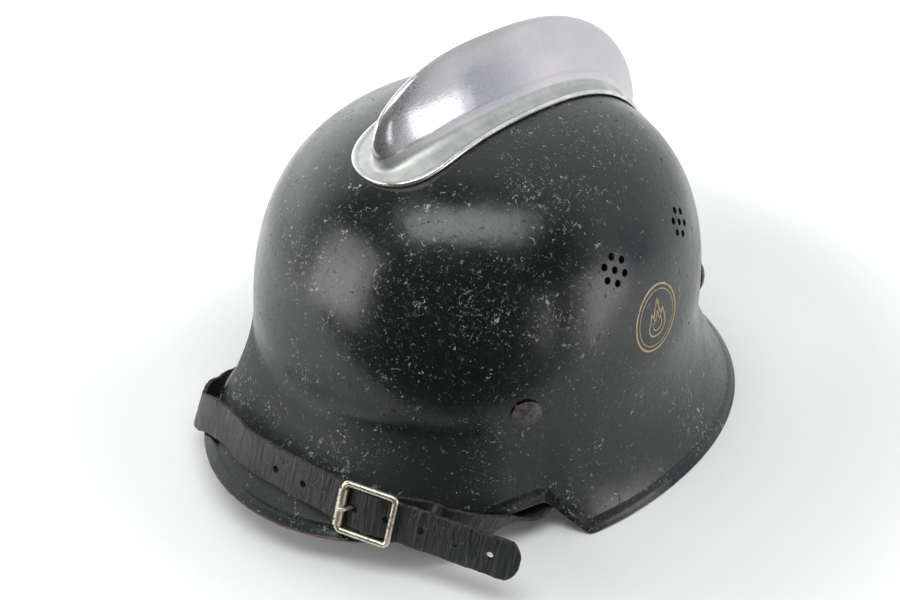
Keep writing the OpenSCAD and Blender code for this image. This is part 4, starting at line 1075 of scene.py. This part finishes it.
def build_long_strap():
    knots = len(LONG_ROUTE)

    def wavy(k):
        return (0.05 + 0.16 * ease(k, 20, 24) * (1 - ease(k, 29, 31))
                + 0.10 * ease(k, 36, 37)) * (1 - ease(k, knots - 3, knots - 1))

    strap = build_strap("long_strap_leather", LONG_ROUTE, STRAP_WALL, wavy, 0.7)
    tools = bmesh.new()
    for k in range(1, 5):
        rod(tools, buckle_pt(PRONG_X + HOLE_PITCH * k, 0, -2.5), BZ, HOLE_D, 8)
    rod(tools, buckle_pt(PRONG_X, 0, -2.5), BZ, PRONG_SLOT, 8.3, slot=BX, spread=1.5)
    # two more holes, before the buckle
    for k in (1, 2):
        angle = 15.5 - 6.7 * k
        rod(tools, by_edge(angle, -15.6, 14.6, 0)[0], polar(angle, cosd(LEAN), sind(LEAN)), HOLE_D, 12)
    rod(tools, by_bail(-1, 0, STUD_DROP)[0], polar(-BAIL_ANGLE, 1, 0), STUD_HOLE, 12)
    cut(strap, tools, 50)
    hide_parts("long_strap")


def build_short_strap():
    def wavy(k):
        return 0.04 + 0.08 * ease(k, 11, 13) * (1 - ease(k, 20, 22))

    strap = build_strap("short_strap_leather", SHORT_ROUTE, SHORT_WALL, wavy, 2.1)
    tools = bmesh.new()
    block(tools, buckle_pt(-0.6, 0, HEEL_Z), (BX, BY, BZ), (6.8, 4.2, 7.2))
    rod(tools, buckle_pt(HEEL_STUD_X, 0, HEEL_Z - 1), BZ, STUD_HOLE, 9)
    rod(tools, by_bail(1, 0, STUD_DROP)[0], polar(BAIL_ANGLE, 1, 0), STUD_HOLE, 12)
    cut(strap, tools, 50)
    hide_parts("short_strap")


def build_prong():
    knots = [[-1.9, HEEL_Z + 0.35], [-3.3, HEEL_Z + 0.45], [-4.6, HEEL_Z + 0.8], [-6.2, -3.1],
             [-7.3, -1.1], [-8.3, 0.9], [-9.2, 2.55], [-10.4, 3.35], [-11.8, 3.42]]
    run = smooth_run(np.array(knots), 6)
    path = np.array([buckle_pt(x, 0, z) for x, z in run])
    radius = np.interp(np.arange(len(path)), [0, 4, len(path) - 8, len(path) - 1], [0.95, 0.9, 0.86, 0.6])
    bm = bmesh.new()
    tube(bm, path, radius, 14, across=BY)
    turn = np.arange(0, 360, 9.0)
    sec = [(1.16, -1.3), (1.16, 1.3), (1.3, 1.5), (1.9, 1.5), (2.08, 1.3), (2.12, 0), (2.08, -1.3),
           (1.9, -1.5), (1.3, -1.5)]
    ring = np.array([[buckle_pt(r * cosd(a), y, HEEL_Z + r * sind(a)) for a in turn] for r, y in sec])
    lay_grid(bm, ring, wrap_cols=True, wrap_rows=True)
    tidy_normals(bm)
    prong = finish_piece("prong_wire", bm, [NICKEL], "buckle_prong", 45)
    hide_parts("buckle_prong")


# Liner
LINER_TOP, LINER_Z, LINER_FACE, LINER_WALL = 126.0, 47.5, 16.2, 1.6
LINER_POWER, LEATHER_THICK = 2.5, 1.45
FINGERS = 8
FINGER_STEP = 360 / FINGERS
FINGER_FOOT, FINGER_GAP = 83.0, 1.5
# the ring of lace holes, the studs, and the felt between leather and inner band
LACE_RING_R, LACE_HOLE_AT, LACE_HOLE_D, LACE_R = 27.5, 9, 3.4, 0.78
STUD_Z, STUD_IN, STUD_D = 69.0, 12, 2.2
FELT_LOW, FELT_HIGH, FELT_FACE, FELT_BACK, FELT_ROUND = 57.6, 72.4, 14.45, 11.6, 0.9


def liner_at(angle, tilt):
    r = (wall_r(angle) - LINER_FACE) * sind(tilt) ** (2 / LINER_POWER)
    rise = (LINER_TOP - LINER_BAND_TOP) * cosd(tilt) ** (2 / LINER_POWER)
    return polar(angle, r, LINER_BAND_TOP + rise)


def stud_holes(tools):
    """Adds the rods for the studs that hold leather and felt on the inner band."""
    for k in range(FINGERS):
        angle = FINGER_STEP * k
        turn = plan_normal(np.array(angle))
        at = polar(angle, wall_r(angle) - STUD_IN, STUD_Z)
        rod(tools, at, (cosd(turn), sind(turn), 0), STUD_D, 20, 20)


def finger(angle, across, skirt, tilts):
    """One finger's rows, from the lower edge up the skirt and over to the tip."""
    spread = angle + FINGER_STEP / 2 * across
    rows = [polar(spread, wall_r(spread) - LINER_FACE, z) for z in skirt]
    for tilt in tilts:
        opened = np.sqrt(np.clip((FINGER_FOOT - tilt) / 2.2, 0, 1))
        reach = (wall_r(angle) - LINER_FACE) * sind(tilt) ** (2 / LINER_POWER)
        gap = np.degrees(FINGER_GAP / reach) * opened
        low = 11 + 4.6 * np.abs(across) ** 3
        t = mix(tilt, low, ease(tilt, 46, 20)) if tilt < 46 else np.full(len(across), tilt)
        rows.append(liner_at(angle + (FINGER_STEP / 2 - gap) * across, t))
    return np.array(rows)


def build_liner():
    """The sweatband and its eight fingers, one sheet of leather."""
    bm = bmesh.new()
    across = np.concatenate([[-1, -0.985, -0.95], np.linspace(-0.9, 0.9, 19), [0.95, 0.985, 1]])
    skirt = np.linspace(LINER_Z, LINER_BAND_TOP, 12)
    tilts = np.concatenate([np.linspace(90, FINGER_FOOT, 4)[1:],
                            FINGER_FOOT - np.array([0.5, 1.2, 2.2, 3.6, 5.5]),
                            np.linspace(FINGER_FOOT - 8, 20, 24)])
    for k in range(FINGERS):
        lay_grid(bm, finger(FINGER_STEP * k, across, skirt, tilts))
    bmesh.ops.remove_doubles(bm, verts=bm.verts, dist=2e-5)
    leather = finish_piece("liner_leather_sheet", bm, [LINER_LEATHER], sharp=55)
    thick = leather.modifiers.new("thickness", "SOLIDIFY")
    thick.thickness, thick.offset, thick.use_even_offset = LEATHER_THICK * MM, 1.0, True
    tools = bmesh.new()
    for k in range(FINGERS):
        for side in (-LACE_HOLE_AT, LACE_HOLE_AT):
            at = polar(FINGER_STEP * k + side, LACE_RING_R, LINER_TOP - 1)
            rod(tools, at, (0, 0, 1), LACE_HOLE_D, 18, 24)
    stud_holes(tools)
    cut(leather, tools, 50)
    soften = leather.modifiers.new("soft edges", "BEVEL")
    soften.width, soften.segments, soften.limit_method = 0.35 * MM, 2, "ANGLE"
    soften.angle_limit = np.radians(50)
    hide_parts("leather_liner")


def build_stitches():
    """Two rows of stitches that hold the fold along the leather's lower edge."""
    bm = bmesh.new()
    for z in (50.0, 53.0):
        for a in np.arange(0, 360, 2.6):
            knots = [(a - 0.85, 0.15), (a - 0.6, -0.28), (a, -0.38), (a + 0.6, -0.28), (a + 0.85, 0.15)]
            tube(bm, [polar(q, wall_r(q) - LINER_FACE + d, z) for q, d in knots], 0.24, 6)
    tidy_normals(bm)
    stitches = finish_piece("liner_stitches", bm, [LACE])


def build_felt():
    """A felt band with rounded edges and an uneven inner face."""
    angle = np.arange(0, 360, 2.0)
    r = FELT_ROUND
    near, far, low, high = FELT_FACE - r, FELT_BACK + r, FELT_LOW + r, FELT_HIGH - r
    corners = ((near, high, 0), (far, high, 90), (far, low, 180), (near, low, 270))
    section = np.array([(x + r * cosd(q0 + q), z + r * sind(q0 + q))
                        for x, z, q0 in corners for q in (0, 22, 45, 68, 90)])
    rng = np.random.default_rng(4)
    fuzz = rng.uniform(0, 0.14, (len(section), len(angle)))
    ring = polar(angle[None], wall_r(angle)[None] - section[:, :1] + fuzz * (section[:, :1] > 13),
                 section[:, 1:])
    bm = bmesh.new()
    lay_grid(bm, ring, wrap_cols=True, wrap_rows=True)
    tidy_normals(bm)
    felt = finish_piece("felt_band", bm, [felt_wool()])
    tools = bmesh.new()
    stud_holes(tools)
    cut(felt, tools)
    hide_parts("felt_ring")


def lace_level(angle):
    """The height of the leather's middle at the ring of lace holes."""
    share = LACE_RING_R / (wall_r(angle) - LINER_FACE + LINER_WALL / 2)
    rise = (LINER_TOP - LINER_BAND_TOP + LINER_WALL / 2) * (1 - share ** LINER_POWER) ** (1 / LINER_POWER)
    return LINER_BAND_TOP + rise


def build_lace():
    """A closed cord that dips through two holes in each finger."""
    swing = LINER_WALL / 2 + 0.8 + 0.6
    dips = ((-22.5, 1), (-12, 1), (-9, 0), (-6, -1), (6, -1), (9, 0), (12, 1))
    knots = [polar(FINGER_STEP * k + a, LACE_RING_R, lace_level(FINGER_STEP * k + a) + swing * up)
             for k in range(FINGERS) for a, up in dips]
    run = smooth_run(np.array(knots + knots[:3]), 5)[5:5 * (len(knots) + 1)]
    bm = bmesh.new()
    tube(bm, run, LACE_R, 10, closed=True, across=(0, 0, 1))
    tidy_normals(bm)
    lace = finish_piece("crown_lace_cord", bm, [LACE])
    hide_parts("crown_lace")


# Badge
BADGE_Z, BADGE_ANGLE, BADGE_WALL_R = 87.3, 92.7, 101.0


def build_badge():
    """A plain flame in a double ring, drawn in thin gold lines on the left side."""
    bm = bmesh.new()

    def line(p, width):
        along = unit(np.roll(p, -1, 0) - np.roll(p, 1, 0))
        side = np.stack([-along[:, 1], along[:, 0]], -1) * width / 2
        rows = []
        for share, lift in ((-1, 0.01), (-0.8, 0.07), (0.8, 0.07), (1, 0.01)):
            q = p + side * share
            z = BADGE_Z + q[:, 1]
            angle = BADGE_ANGLE + np.degrees(q[:, 0] / BADGE_WALL_R)
            rows.append(wall_pt(angle, z, np.full(len(z), lift + 0.02)[:, None]))
        lay_grid(bm, np.array(rows), wrap_cols=True)

    turn = np.arange(0, 360, 4.0)
    for r, w in ((15.6, 0.9), (13.4, 0.45)):
        line(np.stack([r * cosd(turn), r * sind(turn)], -1), w)
    flame = [(0, -8.6), (-4.4, -7.4), (-6.4, -3.6), (-5.2, 0.2), (-4.3, 3.2), (-2.9, 1.2), (-1.6, 5.2),
             (0.6, 9.4), (1.4, 4.6), (3.2, 1.6), (4.2, 3.6), (5.6, -0.6), (6.0, -4.4), (3.8, -7.6)]
    for scale, w in ((1.0, 0.75), (0.52, 0.6)):
        knots = np.array(flame) * scale + np.array([0, -2.9 * (1 - scale)])
        line(smooth_run(np.concatenate([knots, knots[:3]]), 6)[6:6 * (len(knots) + 1)], w)
    badge = finish_piece("side_badge", bm, [badge_gold()])


STRAP_FACE, STRAP_EDGE, STRAP_BACK = strap_grain(), strap_edge(), strap_back()
LINER_LEATHER, LACE = liner_leather(), lace_cotton()
build_shell()
build_comb()
build_seat_mark()
build_long_strap()
build_short_strap()
build_prong()
build_liner()
build_stitches()
build_felt()
build_lace()
build_badge()


# Table, light and camera
# in metres and degrees
TABLE_EDGE, TABLE_DEPTH, TABLE_HALF, TABLE_SHIFT = 0.21, 4.48, 2.0, -1.0
TABLE_TURN, TABLE_TOP = 41.4, -0.0002


def heading(az, el):
    """Unit vector towards an azimuth and an elevation."""
    return np.array([cosd(az) * cosd(el), sind(az) * cosd(el), sind(el)])


def build_table():
    bm = bmesh.new()
    bmesh.ops.create_grid(bm, x_segments=24, y_segments=24, size=1.0)
    turn = Matrix.Rotation(np.radians(TABLE_TURN), 4, "Z")
    for vert in bm.verts:
        x = TABLE_EDGE - TABLE_DEPTH * (1 - vert.co.x) / 2
        vert.co = turn @ Vector((x, vert.co.y * TABLE_HALF + TABLE_SHIFT, TABLE_TOP))
    f = Finish("table white paper")
    grain = f.noise(300, 3, 0.6)
    shader = f.node("ShaderNodeBsdfPrincipled")
    # the paper glows more away from the helmet, and most on the helmet's right
    far = f.calc("SUBTRACT", 1.0, f.near((-0.03, -0.02, 0.0), 0.33, 0.6))
    glow = f.calc("ADD", f.times(far, 0.36), 0.05)
    glow = f.most(glow, f.band(f.part(f.place, 1), -0.12, -0.34, 0.05, 0.70))
    for key, value in (("Base Color", f.tint(grain, (0.785, 0.783, 0.780), (0.81, 0.808, 0.805))),
                       ("Roughness", 0.7), ("Specular IOR Level", 0.1),
                       ("Emission Color", (1.0, 1.0, 1.0)), ("Emission Strength", glow)):
        f.feed(shader.inputs[key], value)
    finish_piece("table", bm, [f.close(shader)], None)


def softbox(name, az, el, distance, width, height, radiance, colour):
    light = bpy.data.lights.new(name, "AREA")
    light.shape, light.size, light.size_y = "RECTANGLE", width, height
    light.energy = radiance * np.pi * width * height
    light.color = colour
    lamp = bpy.data.objects.new(name, light)
    bpy.context.scene.collection.objects.link(lamp)
    away = Vector(heading(az, el))
    lamp.location = Vector((0, 0, 0.09)) + away * distance
    lamp.rotation_euler = away.to_track_quat("Z", "Y").to_euler()


def card(name, az, el, distance, width, height, radiance, colour):
    """A card beside the set that the polished comb mirrors."""
    bm = bmesh.new()
    bmesh.ops.create_grid(bm, x_segments=4, y_segments=4, size=0.5)
    away = Vector(heading(az, el))
    turn = away.to_track_quat("Z", "Y").to_matrix()
    middle = Vector((0, 0, 0.12))
    for vert in bm.verts:
        vert.co = turn @ Vector((vert.co.x * width, vert.co.y * height, 0)) + middle + away * distance
    f = Finish(name + " paper")
    glow = f.node("ShaderNodeEmission")
    f.feed(glow.inputs["Color"], f.tint(f.noise(8, 3, 0.6), colour, tuple(0.92 * c for c in colour)))
    f.feed(glow.inputs["Strength"], radiance)
    made = finish_piece(name.replace(" ", "_"), bm, [f.close(glow)], None)
    made.visible_camera = False


def world_level(tree, where, side, cosines, levels):
    """A level of light that changes from one value to another towards one side."""
    toward = tree.nodes.new("ShaderNodeVectorMath")
    toward.operation = "DOT_PRODUCT"
    toward.inputs[1].default_value = heading(*side)
    tree.links.new(where, toward.inputs[0])
    ramp = tree.nodes.new("ShaderNodeMapRange")
    ramp.interpolation_type = "SMOOTHSTEP"
    tree.links.new(toward.outputs["Value"], ramp.inputs["Value"])
    for key, value in zip(("From Min", "From Max", "To Min", "To Max"), cosines + levels):
        ramp.inputs[key].default_value = value
    return ramp.outputs[0]


def build_world():
    world = bpy.data.worlds.new("studio")
    bpy.context.scene.world = world
    world.use_nodes = True
    tree = world.node_tree
    tree.nodes.clear()
    where = tree.nodes.new("ShaderNodeTexCoord").outputs["Generated"]
    # dark towards the camera, bright low down on the helmet's right
    both = tree.nodes.new("ShaderNodeMath")
    both.operation = "MULTIPLY"
    tree.links.new(world_level(tree, where, (27, 25), (0.0, 0.43), (1.0, 0.06)), both.inputs[0])
    tree.links.new(world_level(tree, where, (-100, 3), (0.60, 0.95), (1.0, 2.2)), both.inputs[1])
    back = tree.nodes.new("ShaderNodeBackground")
    back.inputs["Color"].default_value = (0.97, 0.985, 1.0, 1)
    tree.links.new(both.outputs[0], back.inputs["Strength"])
    # the backdrop itself is plain and pale from every side
    plain = tree.nodes.new("ShaderNodeBackground")
    plain.inputs["Color"].default_value = (0.955, 0.96, 0.96, 1)
    ray = tree.nodes.new("ShaderNodeLightPath")
    seen = tree.nodes.new("ShaderNodeMixShader")
    out = tree.nodes.new("ShaderNodeOutputWorld")
    for source, socket in ((ray.outputs["Is Camera Ray"], seen.inputs[0]),
                           (back.outputs[0], seen.inputs[1]), (plain.outputs[0], seen.inputs[2]),
                           (seen.outputs[0], out.inputs[0])):
        tree.links.new(source, socket)


def build_light():
    # azimuth and elevation in degrees, distance, width and height in metres, radiance, colour
    softbox("front softbox", -27, 13, 1.25, 0.66, 0.80, 5.2, (1.0, 0.985, 0.985))
    softbox("overhead softbox", 38, 69, 1.3, 1.35, 0.50, 5.6, (0.94, 1.0, 0.965))
    softbox("side softbox", 112, -1, 1.25, 0.50, 0.62, 3.0, (1.0, 0.955, 0.995))
    card("blue card", 133, 9, 1.2, 0.25, 0.44, 0.5, (0.80, 0.86, 1.0))
    card("bright strip", 82, 0, 1.2, 0.10, 0.55, 3.2, (1.0, 1.0, 0.98))


def build_camera():
    """The photo's camera, turned about its own axis by the roll; distances in mm."""
    az, el, roll, distance = 41.39, 33.31, 1.77, 699.32
    target = np.array([-24.72, -40.61, 22.26])
    away = heading(az, el)
    right = unit(np.cross(-away, (0, 0, 1)))
    up = np.cross(right, -away)
    right, up = cosd(roll) * right + sind(roll) * up, -sind(roll) * right + cosd(roll) * up
    lens = bpy.data.cameras.new("camera")
    lens.lens, lens.sensor_width, lens.sensor_fit = 51.4476, 36.0, "HORIZONTAL"
    lens.clip_start = 0.01
    camera = bpy.data.objects.new("camera", lens)
    bpy.context.scene.collection.objects.link(camera)
    eye = (target + away * distance) * MM
    camera.matrix_world = Matrix([[right[k], up[k], away[k], eye[k]] for k in range(3)] + [[0, 0, 0, 1]])
    bpy.context.scene.camera = camera


build_table()
build_world()
build_light()
build_camera()
bpy.context.scene.view_settings.view_transform = "Standard"
bpy.context.view_layer.update()
